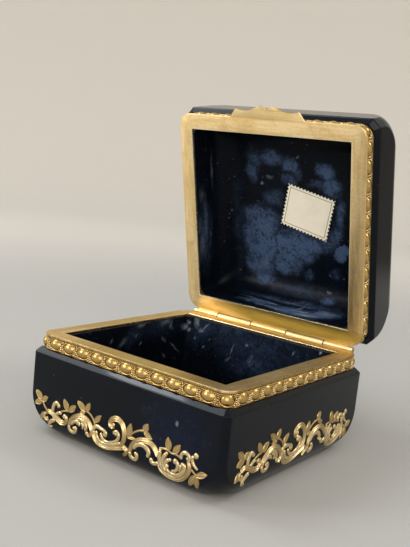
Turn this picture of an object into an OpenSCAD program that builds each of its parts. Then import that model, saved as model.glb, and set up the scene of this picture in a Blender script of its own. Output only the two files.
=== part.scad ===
// Hinged black glass casket with gilt rims, shown with its lid open.
// The origin is the centre of the underside. The front faces -Y, and sizes are millimetres.

/* [Casket] */
// Width of the glass between its side walls
glass_w = 116; // [106:1:140]
// Depth of the glass between its front and back walls
glass_d = 116; // [106:1:140]
// Height from the underside of the base to the parting plane
base_h = 48; // [42:0.5:70]
// Height of the lid above the parting plane
lid_h = 36.5; // [30:0.5:50]
// Angle at which the hinge stops the open lid
open_angle = 76.5; // [65:0.5:90]

/* [Glass] */
// Thickness of the glass walls
wall_t = 10; // [9:0.1:12]
// Thickness of the floor of the base
floor_t = 9; // [6:0.5:12]
// Thickness of the top of the lid
roof_t = 11.5; // [8:0.5:13]
// Leg of the narrow facet cut down each upright corner of the base
base_corner_cut = 2.4; // [1:0.1:4]
// Leg of the facet cut down each upright corner of the lid
lid_corner_cut = 4; // [1:0.1:4.5]
// Angle at which the walls of the lid lean in towards its top
lid_lean_angle = 2.8; // [0:0.1:4]
// Radius along the lower edges of the base
base_edge_r = 10; // [8:0.5:14]
// Radius down the lower corners of the base
base_corner_r = 20; // [14:0.5:24]
// Radius along the top edges of the lid
lid_edge_r = 10.5; // [8:0.5:13]
// Radius over the top corners of the lid
lid_corner_r = 22; // [14:0.5:24]
// Width of the slanted shoulder under each rim
shoulder_w = 2.6; // [2:0.1:3]
// Height of the slanted shoulder under each rim
shoulder_h = 2.2; // [1.8:0.1:4]
// Radius of the upright corners inside
cavity_corner_r = 4; // [2:0.5:6]
// Radius around the bottom of the base's hollow
base_cavity_edge_r = 5; // [3:0.5:8]
// Radius around the top of the lid's hollow
lid_cavity_edge_r = 13; // [8:0.5:16]

/* [Rims] */
// Width of the flat face of each rim plate
flange_w = 8.2; // [7:0.1:10]
// Thickness of the rim plates
plate_t = 1.2; // [0.8:0.1:1.8]
// Distance from the glass walls in to the edge of the plates
plate_inset = 2; // [1.8:0.1:3]
// Outer corner radius of the plates
plate_corner_r = 7; // [5:0.5:9]
// Gap between the two plates when the lid is shut
parting_gap = 0.2; // [0.1:0.05:0.4]
// Thickness of the cement between the glass neck and the gallery
cement_t = 1.4; // [1:0.1:2]
// Thickness of the cement between the glass neck and the plate
cement_top_t = 0.5; // [0.3:0.1:1]

/* [Gallery] */
// Height of the stamped gallery under each plate
gallery_h = 5.9; // [4.6:0.1:7]
// Thickness of the gallery strip
gallery_t = 0.6; // [0.4:0.1:0.8]
// Overhang of the plate past the gallery strip
plate_lip = 0.6; // [0.5:0.1:1]
// Beads on each side between the corner beads
side_beads = 11; // [7:1:13]
// Plain strip left above and below a bead
bead_margin = 0.25; // [0.1:0.05:0.5]
// Height of a bead in front of the strip
bead_rise = 1.6; // [1:0.1:1.7]
// Groove between a bead and the cup around it
cup_gap = 0.2; // [0.1:0.05:0.4]
// Width of the rim of a cup
cup_w = 0.6; // [0.4:0.1:0.8]
// Height of a cup in front of the strip
cup_rise = 0.7; // [0.4:0.1:1]
// Width of the thread along both edges of the strip
thread_w = 0.6; // [0.4:0.1:0.8]
// Height of the thread in front of the strip
thread_rise = 0.4; // [0.2:0.1:0.5]

/* [Hinge] */
// Distance of the hinge axis behind the plates
hinge_set = 2.26; // [2.1:0.02:3]
// Outer radius of the knuckles
knuckle_r = 1.7; // [1.5:0.05:1.8]
// Length of each of the three middle knuckles
knuckle_l = 23; // [18:0.5:25]
// Distance of the ends of the hinge in from the sides of the plates
hinge_inset = 4.8; // [3:0.1:8]
// Gap between one knuckle and the next
knuckle_gap = 0.3; // [0.2:0.05:0.5]
// Radius of the hinge pin
pin_r = 0.8; // [0.6:0.05:0.9]
// Clearance around the hinge pin
pin_clearance = 0.05; // [0.02:0.01:0.1]
// Length of the stop heel in the middle of each lid knuckle
heel_l = 7; // [4:0.5:10]
// Gap at the stop between a heel and the base plate
stop_gap = 0.05; // [0.02:0.01:0.1]

/* [Thumbpiece] */
// Width of the thumbpiece where it meets the plate
thumb_w = 44.6; // [36:0.2:60]
// Reach of the thumbpiece in front of the plate
thumb_reach = 4.1; // [3:0.1:6]
// Slant of the ends of the thumbpiece
thumb_slant = 3.3; // [0:0.1:4]
// Radius of the two lobes
lobe_r = 6; // [4:0.1:7]
// Distance of each lobe from the middle
lobe_offset = 4.45; // [3:0.05:5.5]
// Reach of the lobes past the straight edge
lobe_rise = 2; // [1:0.1:2.5]
// Radius of the hollow beside each lobe
hollow_r = 17; // [14:1:24]
// Depth of the hollow beside each lobe
hollow_depth = 0.75; // [0.2:0.05:0.9]

/* [Label] */
// Length of the paper label
label_l = 29.4; // [24:0.2:34]
// Width of the paper label
label_w = 23.8; // [18:0.2:28]
// Thickness of the paper label
label_t = 0.15; // [0.1:0.05:0.3]
// Distance of the label to the right of the middle of the lid
label_x = 9.3; // [-15:0.1:15]
// Distance of the label behind the middle of the lid
label_y = -2.95; // [-15:0.05:15]
// Turn of the label on the glass
label_turn = 12.6; // [-45:0.2:45]
// Spacing of the perforations around the label
perforation_pitch = 1.7; // [1.2:0.1:2.5]
// Radius of one perforation
perforation_r = 0.55; // [0.3:0.05:0.55]

/* [Scrollwork] */
// Height of the raised gilding above the glass
relief_h = 0.7; // [0.4:0.1:1]
// Film between the gilding and the glass
relief_seat = 0.02; // [0.01:0.01:0.05]
// Bare glass at each end of a garland
garland_margin = 5; // [3:0.5:12]
// Height of the side garlands above the front one
side_lift = 1.8; // [0:0.1:4]
// Width of the main scrolls
scroll_w = 2.3; // [1.6:0.1:2.6]
// Width of the curls inside the scrolls
curl_w = 1.6; // [1.2:0.1:1.8]
// Width of the thin stems
stem_w = 0.8; // [0.5:0.1:1]
// Width of a leaf
leaf_w = 2.9; // [1.5:0.1:3]
// Length of a leaf's foot inside its stem
leaf_root = 0.4; // [0.2:0.1:0.6]

/* [Hidden] */

$fn = 64;
bead_fn = 24;

// Half sizes of the nested outlines, from the glass inwards
glass_half = [glass_w / 2, glass_d / 2];
plate_half = glass_half - [plate_inset, plate_inset];
opening_half = plate_half - [flange_w, flange_w];
strip_half = plate_half - [plate_lip, plate_lip];
bed_half = strip_half - [gallery_t, gallery_t];
neck_half = bed_half - [cement_t, cement_t];
cavity_half = glass_half - [wall_t, wall_t];

// Corner radii that share one centre
strip_r = plate_corner_r - plate_lip;
bed_r = strip_r - gallery_t;
neck_r = bed_r - cement_t;

// Depths below the parting plane
plate_top = parting_gap / 2;
plate_under = plate_top + plate_t;
neck_top = plate_under + cement_top_t;
ledge = plate_under + gallery_h;
wall_top = ledge + shoulder_h;
bead_depth = plate_under + gallery_h / 2;

// Hinge
hinge_y = plate_half.y + hinge_set;
web_end = plate_half.x - plate_corner_r;
first_break = knuckle_l / 2;
second_break = first_break + knuckle_l;
hinge_end = plate_half.x - hinge_inset;

// Rows of beads, evenly spaced along the bent strip
strip_run = 2 * (strip_half - [strip_r, strip_r]) + [1, 1] * PI * strip_r / 2;
bead_pitch = strip_run / (side_beads + 1);
corner_bead = strip_half - [strip_r, strip_r] + [strip_r, strip_r] / sqrt(2);
bead_foot = gallery_h / 2 - bead_margin;
bead_r = (bead_foot * bead_foot + bead_rise * bead_rise) / (2 * bead_rise);
cup_r = bead_foot + cup_gap + cup_w / 2;
cup_span = asin(bead_foot / (cup_r + cup_w / 2));

// Inside of the lid
lid_cavity_depth = lid_h - roof_t;

// Reach of a cut past the face it opens
cut_over = 1;
// Reach of the corner facets past the flat ends of the glass
corner_over = 0.2;
// Depth of the neck's root in the glass below it
neck_root = 1;
// Radius of a scroll's plain end and of a curl's ball, for each unit of its width
tip = 0.56;
ball_tip = 0.8;

glass_colour = [0.03, 0.035, 0.055];
cement_colour = [0.72, 0.69, 0.62];
brass_colour = [0.78, 0.6, 0.3];
gallery_colour = [0.72, 0.5, 0.18];
gilt_colour = [0.85, 0.7, 0.42];
paper_colour = [0.9, 0.87, 0.8];

// Places a shape drawn below the parting plane as part of the base
module on_base() {
    translate([0, 0, base_h]) children();
}

// Places a shape drawn below the parting plane as part of the open lid
module on_lid() {
    translate([0, hinge_y, base_h])
        rotate([-open_angle, 0, 0])
            translate([0, -hinge_y, 0])
                mirror([0, 0, 1]) children();
}

// Rectangle with round corners, from its half sizes
module round_rect(half, r) {
    square([2 * half.x, 2 * (half.y - r)], center = true);
    square([2 * (half.x - r), 2 * half.y], center = true);
    for (x = [-1, 1], y = [-1, 1])
        translate([x * (half.x - r), y * (half.y - r)]) circle(r);
}

// Slab between two depths below the parting plane
module slab(top, bottom) {
    translate([0, 0, -bottom]) linear_extrude(bottom - top) children();
}

// Upright section with two round lower corners
module tub_section(half, top, bottom, r) {
    translate([-half, -bottom + r]) square([2 * half, bottom - r - top]);
    translate([-half + r, -bottom]) square([2 * (half - r), r]);
    for (x = [-1, 1])
        translate([x * (half - r), -bottom + r]) circle(r);
}

// Section of the glass with its slanted shoulder and leaning walls.
// It is carried past both flat ends by a margin.
module glass_section(half, depth, r, lean_angle, over) {
    slant = shoulder_w / shoulder_h;
    bottom = depth + over;
    middle = bottom - r;
    foot = half - (middle - wall_top) * tan(lean_angle) - r / cos(lean_angle);
    side = [foot + r * cos(lean_angle), -middle - r * sin(lean_angle)];
    polygon([
        [-half, -wall_top], [half, -wall_top], side, [foot, -bottom],
        [-foot, -bottom], [-side.x, side.y]
    ]);
    for (x = [-1, 1])
        translate([x * foot, -middle]) circle(r);
    polygon([
        [-half, -wall_top], [half, -wall_top],
        [half - shoulder_w - over * slant, -ledge + over],
        [-half + shoulder_w + over * slant, -ledge + over]
    ]);
}

// Prism along Y whose section is the child shape
module prism(length) {
    rotate([90, 0, 0]) linear_extrude(length, center = true) children();
}

// Outer form of one half of the casket, without its neck
module glass_block(depth, edge_r, corner_r, cut, lean_angle) {
    diagonal = (glass_half.x + glass_half.y - cut) / sqrt(2);
    reach = 2 * (glass_w + glass_d);
    intersection() {
        prism(reach) glass_section(glass_half.x, depth, edge_r, lean_angle, 0);
        rotate([0, 0, 90])
            prism(reach) glass_section(glass_half.y, depth, edge_r, lean_angle, 0);
        rotate([0, 0, 45])
            prism(reach) glass_section(diagonal, depth, corner_r, lean_angle, corner_over);
        rotate([0, 0, -45])
            prism(reach) glass_section(diagonal, depth, corner_r, lean_angle, corner_over);
    }
}

// Hollow of one half of the casket
module cavity(depth, edge_r) {
    intersection() {
        slab(-cut_over, depth) round_rect(cavity_half, cavity_corner_r);
        prism(glass_d) tub_section(cavity_half.x, -cut_over, depth, edge_r);
        rotate([0, 0, 90])
            prism(glass_w) tub_section(cavity_half.y, -cut_over, depth, edge_r);
    }
}

// One half of the casket with its neck, hollowed from the block given as the child shape
module glass_shell(depth, bottom_t, cavity_edge_r) {
    difference() {
        union() {
            children();
            slab(neck_top, ledge + neck_root) round_rect(neck_half, neck_r);
        }
        cavity(depth - bottom_t, cavity_edge_r);
    }
}

// Bed that fills the space between the glass neck, the gallery and the plate
module cement_ring() {
    difference() {
        slab(plate_under, ledge) round_rect(bed_half, bed_r);
        slab(neck_top, ledge + cut_over) round_rect(neck_half, neck_r);
        slab(-cut_over, ledge) round_rect(cavity_half, cavity_corner_r);
    }
}

module rim_plate() {
    slab(plate_top, plate_under) difference() {
        round_rect(plate_half, plate_corner_r);
        square(2 * opening_half, center = true);
    }
}

// Strip of the gallery, grown outwards for the threads
module gallery_ring(top, bottom, grow) {
    slab(top, bottom) difference() {
        round_rect(strip_half + [grow, grow], strip_r + grow);
        round_rect(bed_half, bed_r);
    }
}

// One bead between the two sides of its cup, standing out along -Y from the strip
module egg_in_cup() {
    root = gallery_t / 2;
    rotate([90, 0, 0]) {
        intersection() {
            translate([0, 0, bead_rise - bead_r]) sphere(bead_r, $fn = bead_fn);
            translate([-bead_r, -bead_r, -root])
                cube([2 * bead_r, 2 * bead_r, root + bead_rise + cut_over]);
        }
        for (side = [0, 180])
            translate([0, 0, -root]) linear_extrude(root + cup_rise)
                arc_band(cup_r, side - cup_span, side + cup_span, cup_w, $fn = bead_fn);
    }
}

// Beads along one side, whose strip stands at the given distance from the middle
module bead_row(distance, pitch) {
    for (i = [1 : side_beads])
        translate([(i - (side_beads + 1) / 2) * pitch, -distance, -bead_depth]) egg_in_cup();
}

module gallery() {
    gallery_ring(plate_under, ledge, 0);
    gallery_ring(plate_under, plate_under + thread_w, thread_rise);
    gallery_ring(ledge - thread_w, ledge, thread_rise);
    for (turn = [0, 180]) {
        rotate([0, 0, turn]) bead_row(strip_half.y, bead_pitch.x);
        rotate([0, 0, turn + 90]) bead_row(strip_half.x, bead_pitch.y);
    }
    for (x = [-1, 1], y = [-1, 1])
        translate([x * corner_bead.x, y * corner_bead.y, -bead_depth])
            rotate([0, 0, x * (90 + y * 45)]) egg_in_cup();
}

// Knuckle on the plate's back edge, between two places along the hinge.
// A heel on it meets the back edge of the other plate when the lid is fully open.
module knuckle(from, to, with_heel) {
    start = max(from, -web_end);
    length = min(to, web_end) - start;
    heel_start = start + (length - heel_l) / 2;
    heel_low = plate_top + stop_gap + plate_t / 4;
    heel_reach = hinge_set - pin_r - 2 * pin_clearance;
    difference() {
        translate([0, hinge_y, 0]) {
            translate([from, 0, 0]) rotate([0, 90, 0]) cylinder(to - from, r = knuckle_r);
            translate([start, -hinge_set, -plate_under]) cube([length, hinge_set, plate_t]);
            if (with_heel)
                rotate([-open_angle, 0, 0])
                    translate([heel_start, -hinge_set + stop_gap, heel_low])
                        cube([heel_l, heel_reach, plate_under - heel_low]);
        }
        translate([from - cut_over, hinge_y, 0])
            rotate([0, 90, 0]) cylinder(to - from + 2 * cut_over, r = pin_r + pin_clearance);
    }
}

// Slant-ended tab with two lobes in the middle, drawn towards -Y from the plate's edge
module thumb_outline() {
    half = thumb_w / 2;
    lobe_foot = lobe_offset + sqrt(lobe_rise * (2 * lobe_r - lobe_rise));
    difference() {
        union() {
            polygon([
                [-half, 0], [-half + thumb_slant, -thumb_reach],
                [half - thumb_slant, -thumb_reach], [half, 0]
            ]);
            for (x = [-1, 1])
                translate([x * lobe_offset, -thumb_reach - lobe_rise + lobe_r]) circle(lobe_r);
        }
        for (x = [-1, 1])
            translate([
                x * (lobe_foot + half - thumb_slant) / 2,
                -thumb_reach - hollow_r + hollow_depth
            ]) circle(hollow_r);
        translate([-half, 0]) square([thumb_w, 2 * lobe_r]);
    }
}

// Paper rectangle with a row of half-round bites along each edge
module label_outline() {
    along = floor(label_l / perforation_pitch);
    across = floor(label_w / perforation_pitch);
    difference() {
        square([label_l, label_w], center = true);
        for (i = [0 : along], y = [-1, 1])
            translate([(i - along / 2) * perforation_pitch, y * label_w / 2])
                circle(perforation_r, $fn = bead_fn);
        for (i = [0 : across], x = [-1, 1])
            translate([x * label_l / 2, (i - across / 2) * perforation_pitch])
                circle(perforation_r, $fn = bead_fn);
    }
}

// Band along an arc about the origin, from one angle to another
module arc_band(r, from, to, w) {
    step = (to - from) / 4;
    intersection() {
        difference() {
            circle(r + w / 2);
            circle(r - w / 2);
        }
        polygon([
            [0, 0],
            for (i = [0 : 4]) 2 * r * [cos(from + i * step), sin(from + i * step)]
        ]);
    }
}

// Scroll along an arc about a point, with a round tip at each end
module scroll(centre, r, from, to, w = scroll_w, ball = false) {
    translate(centre) {
        arc_band(r, from, to, w);
        rotate(from) translate([r, 0]) circle(tip * w);
        rotate(to) translate([r, 0]) circle((ball ? ball_tip : tip) * w);
    }
}

// Small curl that ends in a ball
module curl(centre, r, from, to) {
    scroll(centre, r, from, to, curl_w, true);
}

// Pointed leaf from its foot, along an angle
module leaf(foot, angle, length) {
    r = (length * length + leaf_w * leaf_w) / (4 * leaf_w);
    translate(foot) rotate(angle) translate([length / 2, 0])
        intersection() {
            translate([0, r - leaf_w / 2]) circle(r);
            translate([0, leaf_w / 2 - r]) circle(r);
        }
}

// Straight stem between two points
module stem(from, to) {
    reach = to - from;
    translate(from) rotate(atan2(reach.y, reach.x))
        translate([0, -stem_w / 2]) square([norm(reach), stem_w]);
}

// Sprig of leaves that fan out from one foot
module sprig(foot, angles, length) {
    for (angle = angles)
        leaf(foot - leaf_root * [cos(angle), sin(angle)], angle, length);
}

// Garland of scrolls and leaves, drawn flat above the underside with its middle at zero
module garland() {
    // Small double scroll with its two tail leaves, at the left
    scroll([-36.2, 13], 4.1, 130, 345);
    curl([-37.7, 16.9], 1.7, 215, -20);
    curl([-33.8, 12.7], 1.9, -30, 170);
    scroll([-43.2, 9.1], 2.4, 20, 175);
    leaf([-44.6, 9.9], 205, 4.4);
    leaf([-39.2, 9.6], 232, 5.2);
    // Arched scroll
    scroll([-21, 10], 7.2, -15, 205);
    curl([-25.2, 9.2], 2.6, 190, -60);
    curl([-18.2, 11.6], 2.7, 20, 250);
    leaf([-13.6, 8.8], 195, 5);
    // Great double scroll in the middle
    scroll([-5.2, 12.2], 7, 165, 322);
    curl([-9.6, 12.6], 2.4, 185, -20);
    scroll([-5.9, 14.9], 10.8, -50, 5);
    scroll([0.4, 17.8], 4.7, -25, 190);
    curl([-2.6, 18], 1.7, 150, 400);
    curl([1, 11.6], 2.7, -45, 110);
    scroll([5.8, 7.2], 2.2, 10, 170);
    // Second arched scroll
    scroll([16.6, 9.6], 7.3, 15, 200);
    curl([12.2, 8.2], 2.3, 160, -80);
    curl([19.3, 11], 2.6, 60, 270);
    // Great leaf scroll at the right
    scroll([31.2, 13.6], 8.3, 178, 372);
    scroll([26.4, 11.2], 3, 80, 250);
    curl([34.6, 12.2], 2.2, -60, 200);
    curl([38.6, 16.8], 1.8, -80, 200);
    stem([40.4, 14.6], [43.9, 19]);
    translate([44, 19.3]) circle(ball_tip * curl_w);
    // Leaf sprays, from left to right
    sprig([-49, 17], [140, 25, 215], 4.6);
    stem([-49, 17], [-44.6, 11]);
    sprig([-30.4, 16.4], [122, 36], 4.6);
    stem([-30.4, 16.4], [-36.4, 17]);
    sprig([-19.2, 19.4], [156, 64, 208], 4.6);
    stem([-19.2, 19.4], [-13.2, 13]);
    leaf([-15.4, 15.3], 52, 5.4);
    leaf([7.8, 15], 92, 6);
    stem([7.6, 15.4], [11.6, 14.6]);
    scroll([15.4, 13.8], 6.9, 40, 140, stem_w);
    leaf([15.4, 20.4], 62, 3.6);
    sprig([30.6, 16], [106, 44], 5.2);
    stem([23.6, 13.8], [30.6, 16]);
    stem([30.6, 16], [37.2, 16.2]);
    sprig([45, 11.2], [27, 236, 277], 5.4);
    stem([39.4, 15.2], [45, 11.2]);
}

// Outer face of the base wall, grown for the height of the gilding
module wall_section(half, grow) {
    tub_section(half + grow, wall_top - base_h, base_h + grow, base_edge_r + grow);
}

// Garland laid on one wall and over the round edge below it
module wall_garland(half, width, turn, lift) {
    // Length of the garland as it is drawn
    drawn = 106;
    fit = (width - 2 * garland_margin) / drawn;
    rotate([0, 0, turn]) intersection() {
        translate([0, base_edge_r - half, lift])
            rotate([90, 0, 0]) linear_extrude(2 * base_edge_r) scale(fit) garland();
        translate([0, 0, base_h]) rotate([0, 0, 90]) prism(width) difference() {
            wall_section(half, relief_seat + relief_h);
            wall_section(half, relief_seat);
        }
    }
}

module base_glass() {
    color(glass_colour) on_base() glass_shell(base_h, floor_t, base_cavity_edge_r)
        glass_block(base_h, base_edge_r, base_corner_r, base_corner_cut, 0);
}

module base_cement() {
    color(cement_colour) on_base() cement_ring();
}

module base_rim_plate() {
    color(brass_colour) on_base() rim_plate();
}

module base_gallery() {
    color(gallery_colour) on_base() gallery();
}

module base_knuckle_left() {
    color(brass_colour) on_base()
        knuckle(-second_break + knuckle_gap / 2, -first_break - knuckle_gap / 2, false);
}

module base_knuckle_right() {
    color(brass_colour) on_base()
        knuckle(first_break + knuckle_gap / 2, second_break - knuckle_gap / 2, false);
}

module hinge_pin() {
    color(brass_colour) on_base()
        translate([-hinge_end, hinge_y, 0])
            rotate([0, 90, 0]) cylinder(2 * hinge_end, r = pin_r);
}

module front_scrollwork() {
    color(gilt_colour) wall_garland(glass_half.y, glass_w, 0, 0);
}

module right_scrollwork() {
    color(gilt_colour) wall_garland(glass_half.x, glass_d, 90, side_lift);
}

module back_scrollwork() {
    color(gilt_colour) wall_garland(glass_half.y, glass_w, 180, 0);
}

module left_scrollwork() {
    color(gilt_colour) wall_garland(glass_half.x, glass_d, 270, side_lift);
}

module lid_glass() {
    color(glass_colour) on_lid() glass_shell(lid_h, roof_t, lid_cavity_edge_r)
        glass_block(lid_h, lid_edge_r, lid_corner_r, lid_corner_cut, lid_lean_angle);
}

module lid_cement() {
    color(cement_colour) on_lid() cement_ring();
}

module lid_rim_plate() {
    color(brass_colour) on_lid() rim_plate();
}

module lid_gallery() {
    color(gallery_colour) on_lid() gallery();
}

module lid_knuckle_left() {
    color(brass_colour) on_lid() knuckle(-hinge_end, -second_break - knuckle_gap / 2, true);
}

module lid_knuckle_centre() {
    color(brass_colour) on_lid()
        knuckle(-first_break + knuckle_gap / 2, first_break - knuckle_gap / 2, true);
}

module lid_knuckle_right() {
    color(brass_colour) on_lid() knuckle(second_break + knuckle_gap / 2, hinge_end, true);
}

module thumbpiece() {
    color(brass_colour) on_lid()
        translate([0, -plate_half.y, 0]) slab(plate_top, plate_under) thumb_outline();
}

module paper_label() {
    color(paper_colour) on_lid()
        translate([label_x, label_y, 0]) rotate([0, 0, label_turn])
            slab(lid_cavity_depth - label_t, lid_cavity_depth) label_outline();
}

base_glass();
base_cement();
base_rim_plate();
base_gallery();
base_knuckle_left();
base_knuckle_right();
hinge_pin();
front_scrollwork();
right_scrollwork();
back_scrollwork();
left_scrollwork();
lid_glass();
lid_cement();
lid_rim_plate();
lid_gallery();
lid_knuckle_left();
lid_knuckle_centre();
lid_knuckle_right();
thumbpiece();
paper_label();
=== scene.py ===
import math

import bpy
from mathutils import Matrix, Vector


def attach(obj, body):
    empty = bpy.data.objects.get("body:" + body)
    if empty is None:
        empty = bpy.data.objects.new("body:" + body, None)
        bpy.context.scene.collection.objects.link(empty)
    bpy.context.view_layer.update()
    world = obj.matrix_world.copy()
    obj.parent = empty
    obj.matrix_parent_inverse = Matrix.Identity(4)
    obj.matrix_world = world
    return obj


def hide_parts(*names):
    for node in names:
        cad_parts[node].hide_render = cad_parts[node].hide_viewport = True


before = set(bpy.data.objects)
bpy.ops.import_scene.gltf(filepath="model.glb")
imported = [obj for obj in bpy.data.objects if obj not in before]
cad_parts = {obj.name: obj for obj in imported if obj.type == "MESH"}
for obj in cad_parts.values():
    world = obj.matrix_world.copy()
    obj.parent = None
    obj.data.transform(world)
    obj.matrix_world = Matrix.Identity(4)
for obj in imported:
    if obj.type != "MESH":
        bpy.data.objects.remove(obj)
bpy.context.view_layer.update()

mm = 0.001
weld = {"loft": 1e-7, "stage": 1e-6, "copy": 2e-6, "relief": 1e-4}  # in the units of each drawing

scene = bpy.context.scene
scene.view_settings.view_transform = "Standard"


# small helpers for working in and out of edit mode

def deselectAll():
    if bpy.context.mode != "OBJECT":
        bpy.ops.object.mode_set(mode="OBJECT")
    bpy.ops.object.select_all(action="DESELECT")


def pick(obj):
    deselectAll()
    obj.select_set(True)
    bpy.context.view_layer.objects.active = obj


def editAll(obj):
    pick(obj)
    bpy.ops.object.mode_set(mode="EDIT")
    bpy.ops.mesh.select_all(action="SELECT")


def applyModifier(obj, kind, **settings):
    pick(obj)
    mod = obj.modifiers.new(kind.title(), kind)
    for key, value in settings.items():
        setattr(mod, key, value)
    bpy.ops.object.modifier_apply(modifier=mod.name)


def mergeAndFace(obj, distance, inside=False):
    editAll(obj)
    bpy.ops.mesh.remove_doubles(threshold=distance)
    bpy.ops.mesh.dissolve_degenerate(threshold=distance)
    bpy.ops.mesh.select_all(action="SELECT")
    bpy.ops.mesh.normals_make_consistent(inside=inside)
    bpy.ops.object.mode_set(mode="OBJECT")


def joinAll(pieces, name):
    pick(pieces[0])
    for piece in pieces:
        piece.select_set(True)
    bpy.ops.object.join()
    joined = bpy.context.object
    joined.name = joined.data.name = name
    return joined


def copyOf(source, name):
    copy = source.copy()
    copy.data = source.data.copy()
    copy.name = copy.data.name = name
    scene.collection.objects.link(copy)
    return copy


# a grid whose rows are laid along the given loops of points
def shapedGrid(name, rows, merge=weld["loft"]):
    rows = [row + row[:1] for row in rows]
    deselectAll()
    bpy.ops.mesh.primitive_grid_add(x_subdivisions=len(rows[0]) - 1, y_subdivisions=len(rows) - 1)
    obj = bpy.context.object
    obj.name = obj.data.name = name
    points = [point for row in rows for point in row]
    for vertex, point in zip(obj.data.vertices, points):
        vertex.co = point
    mergeAndFace(obj, merge)
    return obj


def softEdges(obj, width, segments, angle, smooth, weighted=True):
    applyModifier(obj, "BEVEL", width=width * mm, segments=segments, limit_method="ANGLE",
                  angle_limit=math.radians(angle), use_clamp_overlap=True, harden_normals=False)
    pick(obj)
    bpy.ops.object.shade_smooth_by_angle(angle=math.radians(smooth))
    if weighted:
        applyModifier(obj, "WEIGHTED_NORMAL", mode="FACE_AREA", weight=60, keep_sharp=True)


hinge = {"y": 58.26 * mm, "z": 48 * mm, "open": math.radians(76.5)}
toBase = Matrix.Translation((0, 0, hinge["z"]))
toLid = (Matrix.Translation((0, hinge["y"], hinge["z"])) @ Matrix.Rotation(-hinge["open"], 4, "X")
         @ Matrix.Translation((0, -hinge["y"], 0)) @ Matrix.Scale(-1, 4, (0, 0, 1)))


# a piece drawn under the parting plane goes to the base, or upside down to the open lid
def placeOn(obj, body):
    obj.data.transform(toLid if body == "lid" else toBase)
    if body == "lid":
        obj.data.flip_normals()


def finishPiece(obj, body, slot, node, *materials):
    obj.data.materials.clear()
    for material in materials:
        obj.data.materials.append(material)
    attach(obj, body)
    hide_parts(node)


# flat coordinates kept as a UV map, for patterns that follow a rim or the label
def keepFlatMap(obj):
    layer = obj.data.uv_layers.new(name="flat")
    for loop in obj.data.loops:
        place = obj.data.vertices[loop.vertex_index].co
        layer.data[loop.index].uv = (place.x, place.y)


# shader building: a socket takes a link from another socket, or a value

def addNode(tree, kind, **values):
    made = tree.nodes.new(kind)
    for key, value in values.items():
        if key in made.inputs:
            made.inputs[key].default_value = value
        else:
            setattr(made, key, value)
    return made


def feed(tree, socket, value):
    if isinstance(value, bpy.types.NodeSocket):
        tree.links.new(value, socket)
    elif value is not None:
        socket.default_value = value


def mathNode(tree, operation, a, b=None, clamp=False):
    made = addNode(tree, "ShaderNodeMath", operation=operation, use_clamp=clamp)
    feed(tree, made.inputs[0], a)
    feed(tree, made.inputs[1], b)
    return made.outputs[0]


def times(tree, a, b, clamp=False):
    return mathNode(tree, "MULTIPLY", a, b, clamp)


def plus(tree, a, b, clamp=False):
    return mathNode(tree, "ADD", a, b, clamp)


def minus(tree, a, b):
    return mathNode(tree, "SUBTRACT", a, b)


def below(tree, a, b):
    return mathNode(tree, "LESS_THAN", a, b)


def absolute(tree, a):
    return mathNode(tree, "ABSOLUTE", a)


def mixColour(tree, factor, a, b):
    made = addNode(tree, "ShaderNodeMix", data_type="RGBA")
    feed(tree, made.inputs[0], factor)
    for socket, value in ((made.inputs[6], a), (made.inputs[7], b)):
        feed(tree, socket, (*value, 1.0) if isinstance(value, tuple) else value)
    return made.outputs[2]


# a colour laid over a tone by a share of a mask
def tint(tree, tone, mask, share, colour):
    return mixColour(tree, times(tree, mask, share), tone, colour)


def mapRange(tree, value, low, high, outLow=0.0, outHigh=1.0):
    made = addNode(tree, "ShaderNodeMapRange", interpolation_type="SMOOTHSTEP")
    for name, part in (("Value", value), ("From Min", low), ("From Max", high),
                       ("To Min", outLow), ("To Max", outHigh)):
        feed(tree, made.inputs[name], part)
    return made.outputs["Result"]


def splitVector(tree, vector):
    made = tree.nodes.new("ShaderNodeSeparateXYZ")
    tree.links.new(vector, made.inputs["Vector"])
    return tuple(made.outputs)


# a group reads a vector and some settings, and puts out one value
def newGroup(name, **settings):
    tree = bpy.data.node_groups.new(name, "ShaderNodeTree")
    tree.interface.new_socket(name="Vector", in_out="INPUT", socket_type="NodeSocketVector")
    for label, value in settings.items():
        kind = "NodeSocketFloat" if isinstance(value, float) else "NodeSocketVector"
        tree.interface.new_socket(name=label, in_out="INPUT", socket_type=kind).default_value = value
    tree.interface.new_socket(name="Mask", in_out="OUTPUT", socket_type="NodeSocketFloat")
    return tree, tree.nodes.new("NodeGroupInput").outputs, tree.nodes.new("NodeGroupOutput").inputs["Mask"]


def useGroup(tree, group, vector, **values):
    made = tree.nodes.new("ShaderNodeGroup")
    made.node_tree = group
    tree.links.new(vector, made.inputs["Vector"])
    for key, value in values.items():
        made.inputs[key].default_value = value
    return made.outputs[0]


# cloudy film: where a noise lies above a level
def makeCloudGroup():
    tree, given, mask = newGroup("hazeClouds", Scale=30.0, Warp=0.8, Low=0.45, High=0.7)
    noise = addNode(tree, "ShaderNodeTexNoise", Detail=7.0, Roughness=0.62)
    for name, socket in (("Vector", "Vector"), ("Scale", "Scale"), ("Warp", "Distortion")):
        tree.links.new(given[name], noise.inputs[socket])
    tree.links.new(mapRange(tree, noise.outputs[0], given["Low"], given["High"]), mask)
    return tree


# scattered specks: small round spots in some of the cells
def makeSpeckGroup():
    tree, given, mask = newGroup("dustSpecks", Scale=300.0, Size=0.2, Share=0.5)
    cells = addNode(tree, "ShaderNodeTexVoronoi", Randomness=1.0)
    for name in ("Vector", "Scale"):
        tree.links.new(given[name], cells.inputs[name])
    split = tree.nodes.new("ShaderNodeSeparateColor")
    tree.links.new(cells.outputs["Color"], split.inputs["Color"])
    kept = below(tree, split.outputs[0], given["Share"])
    spot = mapRange(tree, cells.outputs["Distance"], times(tree, split.outputs[1], given["Size"]), 0.0)
    tree.links.new(times(tree, spot, kept), mask)
    return tree


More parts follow.
